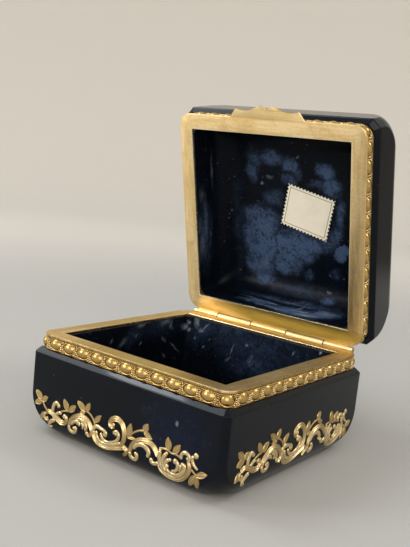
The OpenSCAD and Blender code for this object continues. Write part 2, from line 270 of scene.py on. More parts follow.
# fine lines that run along one axis of the vector it is given
def makeBrushGroup():
    tree, given, mask = newGroup("brushedLines", Along=60.0, Across=3000.0)
    x, y = splitVector(tree, given["Vector"])[:2]
    join = tree.nodes.new("ShaderNodeCombineXYZ")
    tree.links.new(times(tree, x, given["Along"]), join.inputs["X"])
    tree.links.new(times(tree, y, given["Across"]), join.inputs["Y"])
    noise = addNode(tree, "ShaderNodeTexNoise", Scale=1.0, Detail=3.0, Roughness=0.6)
    tree.links.new(join.outputs["Vector"], noise.inputs["Vector"])
    tree.links.new(noise.outputs[0], mask)
    return tree


# soft patch about a point, stretched each way and turned
def makePatchGroup():
    tree, given, mask = newGroup("softPatch", Centre=(0.0, 0.0, 0.0), Stretch=(1.0, 1.0, 1.0),
                                 Turn=0.0, Inner=0.005, Outer=0.02)
    shift = addNode(tree, "ShaderNodeVectorMath", operation="SUBTRACT")
    tree.links.new(given["Vector"], shift.inputs[0])
    tree.links.new(given["Centre"], shift.inputs[1])
    turn = addNode(tree, "ShaderNodeVectorRotate", rotation_type="Z_AXIS")
    tree.links.new(shift.outputs[0], turn.inputs["Vector"])
    tree.links.new(times(tree, given["Turn"], -1.0), turn.inputs["Angle"])
    stretch = addNode(tree, "ShaderNodeVectorMath", operation="MULTIPLY")
    tree.links.new(turn.outputs["Vector"], stretch.inputs[0])
    tree.links.new(given["Stretch"], stretch.inputs[1])
    far = addNode(tree, "ShaderNodeVectorMath", operation="LENGTH")
    tree.links.new(stretch.outputs[0], far.inputs[0])
    tree.links.new(mapRange(tree, far.outputs["Value"], given["Outer"], given["Inner"]), mask)
    return tree


hazeClouds = makeCloudGroup()
dustSpecks = makeSpeckGroup()
brushedLines = makeBrushGroup()
softPatch = makePatchGroup()


# a patch about a point of the casket, with its reach each way, in millimetres
def patchAt(tree, place, centre, reach, inner, outer):
    return useGroup(tree, softPatch, place, Centre=[c * mm for c in centre], Stretch=[1 / (r * mm) for r in reach],
                    Inner=inner, Outer=outer)


def newMaterial(name, **values):
    material = bpy.data.materials.new(name)
    material.use_nodes = True
    tree = material.node_tree
    shader = tree.nodes["Principled BSDF"]
    for key, value in values.items():
        shader.inputs[key.replace("_", " ")].default_value = value
    return material, tree, shader, tree.nodes.new("ShaderNodeTexCoord").outputs["Object"]


def flatMap(tree):
    return addNode(tree, "ShaderNodeUVMap", uv_map="flat").outputs["UV"]


def dress(tree, shader, tone, rough=None):
    feed(tree, shader.inputs["Base Color"], tone)
    feed(tree, shader.inputs["Roughness"], rough)


def addBump(tree, shader, height, distance, strength):
    bump = addNode(tree, "ShaderNodeBump", Strength=strength, Distance=distance * mm)
    tree.links.new(height, bump.inputs["Height"])
    tree.links.new(bump.outputs["Normal"], shader.inputs["Normal"])


# black glass: a thin smear and specks, with a navy sheen painted towards the right corner of the front wall, and one
# spot on the front wall
glassLook = {"black": (0.0008, 0.0018, 0.0045), "film": (0.015, 0.023, 0.042), "speck": (0.3, 0.32, 0.34),
             "navySheen": (0.004, 0.008, 0.03), "rough": 0.06, "roughFilm": 0.24, "smearShare": 0.45,
             "sheenPatch": ((32, -58, 20), (27, 20, 30), 0.2, 1.0), "spot": ((33, -58, 29), (1.0, 4, 1.5), 0.4, 1.1),
             "spotShare": 0.45, "speckShare": 0.16, "smearLeast": 0.35,
             "sheenFine": 0.6, "sheenLeast": 0.4}


def makeOuterGlass():
    look = glassLook
    material, tree, shader, place = newMaterial("blackGlass", IOR=1.52, Specular_IOR_Level=0.2,
                                                Specular_Tint=(0.9, 0.97, 1.0, 1.0))
    film = useGroup(tree, hazeClouds, place, Scale=38.0, Warp=1.2, Low=0.48, High=0.8)
    fine = useGroup(tree, hazeClouds, place, Scale=260.0, Warp=0.4, Low=0.42, High=0.75)
    specks = useGroup(tree, dustSpecks, place, Scale=210.0, Size=0.16, Share=0.3)
    smear = times(tree, film, plus(tree, fine, look["smearLeast"]))
    mottle = plus(tree, times(tree, fine, look["sheenFine"]), look["sheenLeast"])
    # painted sheen: the navy patch, mottled by the fine film
    navySheen = times(tree, patchAt(tree, place, *look["sheenPatch"]), mottle)
    tone = mixColour(tree, navySheen, look["black"], look["navySheen"])
    tone = tint(tree, tone, smear, look["smearShare"], look["film"])
    tone = tint(tree, tone, patchAt(tree, place, *look["spot"]), look["spotShare"], look["speck"])
    tone = tint(tree, tone, specks, look["speckShare"], look["speck"])
    dress(tree, shader, tone, mapRange(tree, smear, 0.0, 1.0, look["rough"], look["roughFilm"]))
    return material


# inside of the glass: film and wisps by patches on the unfolded hollow, with grain and dust over all; in the lid
# some patches are painted sheen
interior = {"black": (0.0012, 0.0022, 0.0042), "blue": (0.05, 0.086, 0.175), "pale": (0.22, 0.27, 0.34),
            "warpScale": 90.0, "warp": 0.012, "fineScale": 260.0, "fineWarp": 0.004, "soft": 2.2, "level": 0.04,
            "cloudShare": 0.5, "mottleShare": 0.42, "grainLeast": 0.22, "dotShare": 0.42,
            "rough": 0.28, "roughHaze": 0.55}


# the strongest of some patches; each has x, y, half sizes, softness, strength and perhaps a turn,
# in millimetres and degrees
def patchMask(tree, vector, patches, shift):
    total = None
    for x, y, halfX, halfY, soft, strength, *turn in patches:
        patch = useGroup(tree, softPatch, vector, Centre=(x * mm + shift, y * mm + shift, 0.0),
                         Stretch=(1 / (halfX * mm), 1 / (halfY * mm), 0.0), Turn=math.radians(sum(turn)),
                         Inner=1.0 - interior["soft"] * soft, Outer=1.0 + soft)
        part = times(tree, patch, strength)
        total = part if total is None else mathNode(tree, "MAXIMUM", total, part)
    return total


# the flat map pushed about by a noise, so that patches get ragged edges
def raggedMap(tree, place, flat, scale, amount):
    noise = addNode(tree, "ShaderNodeTexNoise", Scale=scale, Detail=6.0, Roughness=0.65)
    tree.links.new(place, noise.inputs["Vector"])
    bend = addNode(tree, "ShaderNodeVectorMath", operation="MULTIPLY_ADD")
    tree.links.new(noise.outputs["Color"], bend.inputs[0])
    bend.inputs[1].default_value = (amount, amount, 0.0)
    tree.links.new(flat, bend.inputs[2])
    return bend.outputs[0]


def makeInnerGlass(name, film, wisps):
    look = interior
    material, tree, shader, place = newMaterial(name, IOR=1.52, Specular_IOR_Level=0.06)
    flat = flatMap(tree)
    broad = raggedMap(tree, place, flat, look["warpScale"], look["warp"])
    fine = raggedMap(tree, place, flat, look["fineScale"], look["fineWarp"])
    clouds = useGroup(tree, hazeClouds, place, Scale=150.0, Warp=1.2, Low=0.36, High=0.66)
    mottle = useGroup(tree, hazeClouds, place, Scale=640.0, Warp=0.5, Low=0.4, High=0.62)
    specks = useGroup(tree, dustSpecks, place, Scale=260.0, Size=0.22, Share=0.35)
    dust = useGroup(tree, dustSpecks, place, Scale=560.0, Size=0.34, Share=0.4)
    grain = plus(tree, times(tree, clouds, look["cloudShare"]), times(tree, mottle, look["mottleShare"]))
    grain = plus(tree, grain, look["grainLeast"])
    haze = times(tree, patchMask(tree, broad, film, look["warp"] / 2), grain)
    haze = plus(tree, haze, times(tree, grain, look["level"]), clamp=True)
    streak = times(tree, patchMask(tree, fine, wisps, look["fineWarp"] / 2), grain, clamp=True)
    dots = mathNode(tree, "MAXIMUM", specks, times(tree, dust, clouds))
    tone = mixColour(tree, haze, look["black"], look["blue"])
    tone = mixColour(tree, streak, tone, look["pale"])
    tone = tint(tree, tone, dots, look["dotShare"], look["pale"])
    dress(tree, shader, tone, mapRange(tree, haze, 0.0, 1.0, look["rough"], look["roughHaze"]))
    return material


# brass of plates, knuckles and thumbpiece; places and distances in millimetres
brassLook = {"gold": (0.815, 0.595, 0.275), "pale": (0.92, 0.74, 0.425), "brown": (0.42, 0.27, 0.11),
             "edge": (0.3, 0.19, 0.07), "wearAndSheen": (0.96, 0.85, 0.6), "darkPatchTone": (0.32, 0.262, 0.08),
             "creviceDirtAndShade": (0.045, 0.03, 0.012), "stainShare": 0.42, "pitShare": 0.5, "stippleShare": 0.17,
             "wearSheenFrom": 48.25, "wearSheenTo": 48.0, "wearSheenBase": 0.4, "wearSheenLid": 0.5, "wornPolish": 0.15,
             "rimShadeFrom": 55.45, "rimShadeTo": 55.75, "rimShadeEnd": 56.02, "lidFrom": 49.5, "rough": (0.34, 0.46),
             "hingeGap": (1.74, 2.14), "knuckle": 11.5, "knuckleGap": 0.3, "bands": (0.36, 0.64),
             "lines": (0.3, 0.7), "rimStipple": 0.5, "rimShadeLeast": 0.45, "stainRough": 0.1, "pitDeep": 0.6,
             "darkPatchSoft": (0.6, 1.1),
             "darkPatchAt": (((14, 55.6, 54.5), (54, 9, 6), 0.95), ((6, -52, 48), (48, 6, 4), 0.45),
                           ((-53, 0, 48), (5, 50, 4), 0.3), ((0, 31, 161), (20, 7, 3.4), 0.28))}


# dirt and painted shade in the gap over the base knuckles, and between one knuckle and the next
def hingeDirtAndShade(tree, place, upper):
    x, y, z = place
    knuckle = brassLook["knuckle"] * mm
    near, far = (gap * mm for gap in brassLook["hingeGap"])
    span = absolute(tree, x)
    offY, offZ = minus(tree, y, hinge["y"]), minus(tree, z, hinge["z"])
    away = mathNode(tree, "SQRT", plus(tree, times(tree, offY, offY), times(tree, offZ, offZ)))
    over = times(tree, mathNode(tree, "GREATER_THAN", away, near), below(tree, away, far))
    onBase = below(tree, absolute(tree, minus(tree, span, 2 * knuckle)), knuckle)
    over = times(tree, times(tree, over, onBase), upper)
    toBreak = mathNode(tree, "PINGPONG", minus(tree, span, knuckle), knuckle)
    between = times(tree, below(tree, toBreak, brassLook["knuckleGap"] * mm), below(tree, away, near))
    return mathNode(tree, "MAXIMUM", over, between)


def makePlateBrass():
    look = brassLook
    material, tree, shader, place = newMaterial("brushedGilt", Metallic=1.0, Specular_Tint=(0.86, 0.74, 0.52, 1.0))
    flat = flatMap(tree)
    x, y = splitVector(tree, flat)[:2]
    reachX, reachY = absolute(tree, x), absolute(tree, y)
    # the lines run along x on the front and back of the rim, and along y at its sides
    turned = tree.nodes.new("ShaderNodeCombineXYZ")
    tree.links.new(y, turned.inputs["X"])
    tree.links.new(x, turned.inputs["Y"])
    along = addNode(tree, "ShaderNodeMix", data_type="VECTOR")
    tree.links.new(mathNode(tree, "GREATER_THAN", reachX, reachY), along.inputs[0])
    tree.links.new(flat, along.inputs[4])
    tree.links.new(turned.outputs["Vector"], along.inputs[5])
    lines = useGroup(tree, brushedLines, along.outputs[1], Along=90.0, Across=2600.0)
    broad = useGroup(tree, brushedLines, along.outputs[1], Along=35.0, Across=420.0)
    stain = useGroup(tree, hazeClouds, place, Scale=70.0, Warp=0.8, Low=0.45, High=0.75)
    pits = useGroup(tree, dustSpecks, place, Scale=420.0, Size=0.3, Share=0.22)
    stipple = useGroup(tree, hazeClouds, place, Scale=1100.0, Warp=0.3, Low=0.42, High=0.62)
    tone = mixColour(tree, mapRange(tree, broad, *look["bands"]), look["gold"], look["pale"])
    for mask, share in ((stain, "stainShare"), (pits, "pitShare"), (stipple, "stippleShare")):
        tone = tint(tree, tone, mask, look[share], look["brown"])
    # the outer edge of the base plate is darkened, painted shade broken by stippled dirt, and the edge of each
    # opening is worn and painted with a bright sheen
    spot = splitVector(tree, place)
    upper = mathNode(tree, "GREATER_THAN", spot[2], look["lidFrom"] * mm)
    reach = mathNode(tree, "MAXIMUM", reachX, reachY)
    # painted shade over the base plate's outer edge, with stippled dirt
    rim = mapRange(tree, reach, look["rimShadeFrom"] * mm, look["rimShadeTo"] * mm)
    rim = times(tree, rim, below(tree, reach, look["rimShadeEnd"] * mm))
    rim = times(tree, rim, plus(tree, times(tree, stipple, look["rimStipple"]), look["rimShadeLeast"]))
    tone = tint(tree, tone, rim, minus(tree, 1.0, upper), look["edge"])
    # darker greenish patches on the lid's lower flange, the base's front and left flanges and the thumbpiece
    for centre, spread, share in look["darkPatchAt"]:
        patch = patchAt(tree, place, centre, spread, *look["darkPatchSoft"])
        tone = tint(tree, tone, patch, share, look["darkPatchTone"])
    # painted highlight with wear along the edge of each opening, stronger on the lid
    wearAndSheen = mapRange(tree, reach, look["wearSheenFrom"] * mm, look["wearSheenTo"] * mm)
    tone = tint(tree, tone, wearAndSheen, plus(tree, times(tree, upper, look["wearSheenLid"]), look["wearSheenBase"]), look["wearAndSheen"])
    # painted shade and dirt in the hinge gap
    tone = mixColour(tree, hingeDirtAndShade(tree, spot, upper), tone, look["creviceDirtAndShade"])
    rough = mapRange(tree, lines, *look["lines"], *look["rough"])
    rough = plus(tree, rough, times(tree, stain, look["stainRough"]))
    dress(tree, shader, tone, minus(tree, rough, times(tree, wearAndSheen, look["wornPolish"])))
    addBump(tree, shader, minus(tree, lines, times(tree, pits, look["pitDeep"])), distance=0.04, strength=0.6)
    return material


# relief is a value kept on the mesh: 0 in the ground, 1 on the highest ridges
giltLooks = {
    "stampedGilt": {"ridge": (0.96, 0.79, 0.46), "flank": (0.53, 0.35, 0.115), "ground": (0.04, 0.022, 0.007),
                    "rough": 0.12, "low": 0.26, "high": 0.7, "scale": 800.0},
    "raisedGilt": {"ridge": (0.92, 0.76, 0.46), "flank": (0.58, 0.42, 0.185), "ground": (0.13, 0.08, 0.028),
                   "rough": 0.24, "low": 0.36, "high": 0.95, "scale": 700.0},
}
giltShare = {"mottle": 0.4, "dirtShadeLeast": 0.75, "dirtShadeMottle": 0.25, "flankRough": 0.12}


def makeReliefGilt(name):
    look = giltLooks[name]
    material, tree, shader, place = newMaterial(name, Metallic=1.0)
    relief = addNode(tree, "ShaderNodeAttribute", attribute_name="relief").outputs["Fac"]
    mottle = useGroup(tree, hazeClouds, place, Scale=look["scale"], Warp=0.6, Low=0.35, High=0.7)
    grit = useGroup(tree, dustSpecks, place, Scale=look["scale"] * 4, Size=0.5, Share=0.5)
    raised = mapRange(tree, relief, look["low"], look["high"])
    tone = mixColour(tree, raised, look["flank"], look["ridge"])
    tone = tint(tree, tone, mottle, giltShare["mottle"], look["flank"])
    # the low ground darkens: dirt in the hollows, with painted shade
    dirtAndShade = plus(tree, times(tree, mottle, giltShare["dirtShadeMottle"]), giltShare["dirtShadeLeast"])
    tone = tint(tree, tone, mapRange(tree, relief, look["low"], 0.0), dirtAndShade, look["ground"])
    flankRough = look["rough"] + giltShare["flankRough"]
    dress(tree, shader, tone, mapRange(tree, raised, 0.0, 1.0, flankRough, look["rough"]))
    addBump(tree, shader, minus(tree, mottle, grit), distance=0.05, strength=0.5)
    return material


# cement in the rims and the wire of the hinge pin
plasterLook = {"dark": (0.035, 0.03, 0.024), "pale": (0.07, 0.06, 0.048)}
wireLook = {"dark": (0.42, 0.28, 0.11), "pale": (0.62, 0.44, 0.2), "rough": (0.28, 0.45)}


def makePlaster():
    material, tree, shader, place = newMaterial("setPlaster", Roughness=0.9)
    grain = useGroup(tree, hazeClouds, place, Scale=500.0, Warp=0.2, Low=0.3, High=0.7)
    dress(tree, shader, mixColour(tree, grain, plasterLook["dark"], plasterLook["pale"]))
    addBump(tree, shader, grain, distance=0.1, strength=0.5)
    return material


def makeWireBrass():
    material, tree, shader, place = newMaterial("drawnWire", Metallic=1.0)
    lines = useGroup(tree, brushedLines, place, Along=40.0, Across=2500.0)
    tone = mixColour(tree, lines, wireLook["dark"], wireLook["pale"])
    dress(tree, shader, tone, mapRange(tree, lines, *brassLook["lines"], *wireLook["rough"]))
    return material


# blank stamp-edged paper with a thin printed frame; the flat map has its origin in the middle of the label
labelLook = {"length": 29.4, "width": 23.8, "inset": 1.75, "line": 0.45, "paper": (0.93, 0.885, 0.765),
             "ink": (0.13, 0.105, 0.075), "inkShare": 0.85, "stain": (0.68, 0.6, 0.45), "stainShare": 0.32,
             "fibre": (0.6, 0.55, 0.45), "fibreShare": 0.12}


def makeLabelPaper():
    look = labelLook
    material, tree, shader, place = newMaterial("labelPaper", Roughness=0.85)
    x, y = splitVector(tree, flatMap(tree))[:2]
    # distance in from the nearest edge
    reach = mathNode(tree, "MINIMUM", minus(tree, look["length"] / 2 * mm, absolute(tree, x)),
                     minus(tree, look["width"] / 2 * mm, absolute(tree, y)))
    off = absolute(tree, minus(tree, reach, look["inset"] * mm))
    line = mapRange(tree, off, look["line"] / 2 * mm, look["line"] / 4 * mm)
    stain = useGroup(tree, hazeClouds, place, Scale=120.0, Warp=0.7, Low=0.4, High=0.8)
    fibre = useGroup(tree, hazeClouds, place, Scale=1500.0, Warp=0.5, Low=0.4, High=0.65)
    tone = tint(tree, look["paper"], stain, look["stainShare"], look["stain"])
    tone = tint(tree, tone, fibre, look["fibreShare"], look["fibre"])
    dress(tree, shader, tint(tree, tone, line, look["inkShare"], look["ink"]))
    addBump(tree, shader, fibre, distance=0.03, strength=0.5)
    return material


# film on the lid's roof and walls, then on the walls of the base; on the lid's left and lower inner walls the film
# and wisps are partly painted sheen
lidFilmAndSheen = [
    (-14, -30.5, 8, 3.6, 0.3, 1.0), (-25, -30, 4, 5, 0.4, 0.7), (-26, -22, 4, 7, 0.35, 0.75),
    (-2, -28, 4.8, 4.2, 0.3, 1.1), (3, -25, 3, 4, 0.4, 0.85), (-2, -19, 5, 3.6, 0.4, 0.75),
    (20, -26, 5, 4.8, 0.3, 1.3), (23, -18, 6.5, 5, 0.35, 1.15), (14, -18, 5, 2.4, 0.4, 0.6),
    (29, -4, 3.2, 9, 0.35, 1.0), (26, 8, 3.4, 6, 0.4, 0.8), (-12, -8, 6, 5, 0.4, 0.6),
    (-20, 4, 13.5, 7.5, 0.25, 1.1), (-21, 19, 12.5, 21, 0.2, 1.25), (-24, 32, 8, 8, 0.25, 1.2),
    (-19, 40, 7.5, 4, 0.3, 1.25), (0, 18, 15, 10.5, 0.22, 1.4), (13, 15, 7.5, 5, 0.3, 1.2),
    (-6, 27, 9, 7.5, 0.3, 1.2), (3, 29, 5, 5, 0.35, 0.8), (30, 18, 5.4, 5, 0.15, 2.0),
    (21.5, 12.5, 6.5, 6, 0.35, 0.75), (27, 30, 3.2, 2.4, 0.5, 0.5), (11, 33, 2.4, 3, 0.4, 0.65),
    (26, 48, 5, 4, 0.35, 1.1), (8, 44, 26, 5.5, 0.5, 0.35), (-36, 10, 4, 30, 0.6, 0.25),
    (-66, 21, 6, 28, 0.5, 0.6), (20, 66, 22, 4.5, 0.4, 2.2), (34, 62, 12, 5, 0.4, 2.5),
    (-14, 64, 18, 3, 0.5, 1.7), (10, 56, 36, 3, 0.6, 0.8),
]
lidWispsAndSheen = [
    (24, 41, 1.6, 1.2, 0.4, 0.8), (-36.5, 38, 1.4, 0.8, 0.5, 0.6, -20), (-18, 30.5, 2.2, 2.2, 0.5, 0.4),
    (-4, 62, 6, 0.7, 0.5, 1.2, 4), (16, 61, 0.9, 3.2, 0.5, 1.0, 8), (30, 67, 9, 1.4, 0.5, 1.3, -6),
    (36, 60, 7, 3, 0.6, 0.7, -12), (22, 64, 11, 0.8, 0.5, 1.1, -4), (2, 67, 14, 0.8, 0.5, 0.9, 3),
    (-24, 60, 10, 0.6, 0.5, 0.8, 6), (6, 57, 18, 0.6, 0.5, 0.6, 2), (-64, 8, 1.4, 20, 0.6, 0.32),
    (-68, 30, 2.6, 12, 0.6, 0.36, 4), (-57, -26, 0.8, 11, 0.6, 0.34), (-60, 20, 1.0, 10, 0.6, 0.26, 8),
    (-67, -12, 2.2, 8, 0.6, 0.26, -6), (-20, -16, 1, 1, 0.5, 0.7), (-15, -20, 2.4, 1, 0.5, 0.5, 10),
    (-70, 10, 2, 9, 0.6, 0.3), (3, -32.5, 0.9, 0.8, 0.5, 0.6), (-41, 2, 1.2, 1, 0.5, 0.6),
]
baseFilm = [
    (0, 79, 66, 12, 0.6, 0.32), (20, 66, 36, 9, 0.6, 0.42), (8, 70, 6, 7, 0.5, 0.55),
    (-30, 83, 30, 3.5, 0.6, 0.4), (-62, 78, 14, 8, 0.6, 0.5), (-80, 10, 5, 12, 0.6, 0.4),
    (-82, 40, 5, 26, 0.6, 0.35),
]
baseWisps = [
    (-72, 82.5, 5.2, 2.0, 0.5, 1.0, -30), (-62, 78.7, 3.6, 1.6, 0.5, 0.9), (-59, 82, 3.2, 0.8, 0.5, 0.9, 50),
    (-17.5, 73.7, 3.5, 0.7, 0.5, 0.9, -70), (-15.5, 67, 2.4, 1.2, 0.6, 0.5, 20), (8, 70, 0.9, 4.4, 0.6, 0.3, 12),
    (11.5, 69, 0.7, 3.6, 0.6, 0.3, -8), (-74.4, 76, 1.7, 1.7, 0.5, 1.2), (-80, 80, 2.2, 1.6, 0.5, 1.0, 30),
    (-64.8, 74, 1.3, 1.0, 0.5, 0.8), (-49.2, 70, 1.3, 1.0, 0.5, 0.7), (-47.6, 75, 1.1, 1.1, 0.5, 0.6),
    (-4.8, 77.5, 1.6, 1.1, 0.5, 0.7, 10), (44.5, 80, 0.7, 1.6, 0.5, 1.1), (69, 84.5, 1.1, 1.0, 0.4, 2.0),
    (-76.5, -2.4, 2.2, 5, 0.6, 0.45, 20), (-84.5, 14, 1.6, 6, 0.6, 0.7), (-84, 49, 1.8, 8, 0.6, 0.8),
    (-82, 60, 3.4, 1.8, 0.6, 0.7, 20), (-78.5, -19.6, 1.4, 1.6, 0.5, 0.8), (-74.5, 24, 1.0, 1.4, 0.5, 0.7),
    (-79, 13, 1.2, 1.2, 0.5, 0.6), (-74, 49, 1.4, 1.8, 0.5, 0.7), (-68, 55, 4, 0.9, 0.5, 0.6, 30),
    (-65, 42, 1.8, 1.3, 0.5, 0.5), (-79, 74, 2, 4, 0.5, 1.1),
]
outerGlass = makeOuterGlass()
lidInside = makeInnerGlass("hazedGlassLid", lidFilmAndSheen, lidWispsAndSheen)
baseInside = makeInnerGlass("hazedGlassBase", baseFilm, baseWisps)
plateBrass = makePlateBrass()
galleryGilt = makeReliefGilt("stampedGilt")
scrollGilt = makeReliefGilt("raisedGilt")
plaster = makePlaster()
wireBrass = makeWireBrass()
labelPaper = makeLabelPaper()
print("materials")


# glass: one loft from the middle of the outer face, over the rim, down into the hollow

glass = {"half": 58.0, "ledge": 7.2, "wallTop": 9.4, "shoulder": 2.6, "wallMiddle": 20.0, "cornerOver": 0.2,
         "neckHalf": 53.4, "neckRadius": 4.4, "neckTop": 1.8, "hollowHalf": 48.0, "hollowRadius": 4.0,
         "edgeSoft": 0.4, "cornerPoints": 12, "lead": 1.2, "flat": 0.6, "arcSteps": 14, "hollowSteps": 12,
         "levelGap": 0.12, "slack": 0.01}
tubs = {
    "base_glass": {"body": "base", "depth": 48.0, "edge": 10.0, "corner": 20.0, "cut": 2.4, "lean": 0.0,
                   "hollow": 39.0, "hollowEdge": 5.0, "soften": 3.0, "inside": baseInside},
    "lid_glass": {"body": "lid", "depth": 36.5, "edge": 10.5, "corner": 22.0, "cut": 4.0, "lean": math.radians(2.8),
                  "hollow": 25.0, "hollowEdge": 13.0, "soften": 0.8, "inside": lidInside},
}
# an arc that is this much longer in the leg meets the facet it replaces in the middle
arcLeg = 1 + 1 / math.sqrt(2)


# loop round the casket: each corner is a straight cut, partly or wholly rounded, or an arc of a radius
# a lead adds a point before and after each corner, which keeps the shading of the walls flat
def rimLoop(half, depth, cut=None, radius=None, points=8, rounding=0.0, lead=0.0):
    loop = []
    for corner in range(4):
        turn = corner * math.pi / 2
        first = Vector((math.cos(turn), math.sin(turn)))
        second = Vector((-math.sin(turn), math.cos(turn)))
        leg = radius if cut is None else cut * arcLeg
        spots = []
        for i in range(points):
            t = i / (points - 1)
            angle = t * math.pi / 2
            spot = (first + second) * (half - leg) + (first * math.cos(angle) + second * math.sin(angle)) * leg
            if cut is not None:
                straight = first * (half - cut * t) + second * (half - cut * (1 - t))
                spot = straight.lerp(spot, rounding)
            spots.append(spot)
        if lead:
            spots = [spots[0] - second * lead] + spots + [spots[-1] - first * lead]
        loop += [(spot.x * mm, spot.y * mm, -depth * mm) for spot in spots]
    return loop


def roundedIn(depth, bottom, radius):
    over = max(0.0, depth - (bottom - radius))
    return radius - math.sqrt(max(0.0, radius * radius - over * over))


# half width of a wall at a depth: slanted shoulder, leaning wall, round edge
def wallHalf(half, depth, bottom, radius, lean):
    middle = bottom - radius
    if depth < glass["wallTop"]:
        return half - (glass["wallTop"] - depth) * glass["shoulder"] / (glass["wallTop"] - glass["ledge"])
    if depth < middle + radius * math.sin(lean):
        return half - (depth - glass["wallTop"]) * math.tan(lean)
    foot = half - (middle - glass["wallTop"]) * math.tan(lean) - radius / math.cos(lean)
    return foot + math.sqrt(max(0.0, radius ** 2 - (depth - middle) ** 2))


# depths of the outer loops, from the face to the ledge, none closer together than a small gap
def outerLevels(tub):
    ledge, wallTop = glass["ledge"], glass["wallTop"]
    levels = {ledge, ledge + glass["flat"], wallTop - glass["flat"], wallTop, wallTop + glass["lead"],
              glass["wallMiddle"]}
    for radius, bottom in ((tub["edge"], tub["depth"]), (tub["corner"], tub["depth"] + glass["cornerOver"])):
        for i in range(glass["arcSteps"] + 1):
            angle = i * math.pi / 2 / glass["arcSteps"]
            levels.add(round(min(tub["depth"], bottom - radius + radius * math.sin(angle)), 3))
    kept = []
    for level in sorted(levels, reverse=True):
        if not kept or kept[-1] - level > glass["levelGap"]:
            kept.append(level)
    return kept


# the hollow is unfolded round its floor, so that a film can be placed on its walls as well
def keepHollowMap(obj, floor):
    layer = obj.data.uv_layers.new(name="flat")
    for loop in obj.data.loops:
        place = obj.data.vertices[loop.vertex_index].co
        spread = 1 + max(0.0, floor * mm + place.z) / (glass["hollowHalf"] * mm)
        layer.data[loop.index].uv = (place.x * spread, place.y * spread)


def glassTub(name):
    tub = tubs[name]
    depth, floor = tub["depth"], tub["hollow"]
    count, lead = glass["cornerPoints"], glass["lead"]
    facet = (2 * glass["half"] - tub["cut"]) / math.sqrt(2)
    cornerBottom = depth + glass["cornerOver"]
    loops = [[(0.0, 0.0, -depth * mm)] * (4 * (count + 2))]
    # the first loop lies inside the flat face, which keeps its shading even
    for level, inset in [(depth, lead)] + [(level, 0.0) for level in outerLevels(tub)]:
        half = wallHalf(glass["half"], level, depth, tub["edge"], tub["lean"])
        across = wallHalf(facet, level, cornerBottom, tub["corner"], tub["lean"])
        turned = max(0.0, level - cornerBottom + tub["corner"]) / tub["corner"]
        loops.append(rimLoop(half - inset, level, cut=2 * half - math.sqrt(2) * across, points=count,
                             rounding=min(1.0, turned) ** tub["soften"], lead=lead))
    inner = [(glass["neckHalf"], glass["ledge"], glass["neckRadius"]),
             (glass["neckHalf"], glass["neckTop"], glass["neckRadius"]),
             (glass["hollowHalf"], glass["neckTop"], glass["hollowRadius"])]
    for i in range(glass["hollowSteps"] + 1):
        level = floor - tub["hollowEdge"] * (1 - math.sin(i * math.pi / 2 / glass["hollowSteps"]))
        half = glass["hollowHalf"] - roundedIn(level, floor, tub["hollowEdge"])
        inner.append((half, level, glass["hollowRadius"]))
    loops += [rimLoop(half, level, radius=radius, points=count, lead=lead) for half, level, radius in inner]
    loops.append([(0.0, 0.0, -floor * mm)] * (4 * (count + 2)))
    obj = shapedGrid(name + "_cast", loops)
    softEdges(obj, glass["edgeSoft"], segments=3, angle=20, smooth=40, weighted=False)
    keepHollowMap(obj, floor)
    return obj


# the faces of the hollow take the second material
def hollowFaces(obj, floor):
    wide, deep = (glass["hollowHalf"] + glass["slack"]) * mm, (floor + glass["slack"]) * mm
    centres = [face.center for face in obj.data.polygons]
    return [int(max(abs(centre.x), abs(centre.y)) < wide and -centre.z < deep) for centre in centres]


for name, tub in tubs.items():
    piece = glassTub(name)
    marks = hollowFaces(piece, tub["hollow"])
    placeOn(piece, tub["body"])
    finishPiece(piece, tub["body"], "black_glass", name, outerGlass, tub["inside"])
    for face, mark in zip(piece.data.polygons, marks):
        face.material_index = mark
print("glass")


# rim plates: flat frames with sharp inner corners

plate = {"half": 56.0, "radius": 7.0, "opening": 47.8, "top": 0.1, "under": 1.3, "soft": 0.3, "slack": 0.01,
         "backLip": 0.42, "backDrop": 0.03}
for body in ("base", "lid"):
    outer, opening = (plate["half"], plate["radius"]), (plate["opening"], 0.0)
    loops = [rimLoop(half, plate[level], radius=radius, points=10) for (half, radius), level in (
        (outer, "under"), (outer, "top"), (opening, "top"), (opening, "under"), (outer, "under"))]
    piece = shapedGrid(body + "_rim_frame", loops)
    # the lid's back edge comes close to the base knuckles
    for vertex in piece.data.vertices:
        if body == "lid" and vertex.co.y > (plate["half"] - plate["slack"]) * mm:
            vertex.co.y += plate["backLip"] * mm
            vertex.co.z -= plate["backDrop"] * mm
    softEdges(piece, plate["soft"], segments=3, angle=40, smooth=50)
    keepFlatMap(piece)
    placeOn(piece, body)
    finishPiece(piece, body, "gilt_plate", body + "_rim_plate", plateBrass)
print("rim plates")


# relief drawing: strokes and leaves on a flat sheet of (along, up, height), in millimetres

def smoothPath(points, step):
    path = []
    for i in range(len(points) - 1):
        before = points[max(i - 1, 0)]
        start, end = points[i], points[i + 1]
        after = points[min(i + 2, len(points) - 1)]
        count = max(2, int(math.dist(start[:2], end[:2]) / step))
        for k in range(count):
            t = k / count
            path.append(tuple(
                0.5 * (2 * b + (c - a) * t + (2 * a - 5 * b + 4 * c - d) * t * t + (3 * b - a - 3 * c + d) * t ** 3)
                for a, b, c, d in zip(before, start, end, after)))
    path.append(tuple(points[-1]))
    return path


stroke = {"sink": 0.08, "steps": 4, "crown": (2.4, 0.55), "valley": 0.36, "fullAt": 0.45, "thinLift": (0.45, 0.35)}
leafForm = {"belly": 0.85, "round": 0.75, "fullAt": 0.22, "edge": (5, 0.5),
            "rim": (0.8, 0.14), "vein": (0.7, 0.16), "hollow": 0.45}


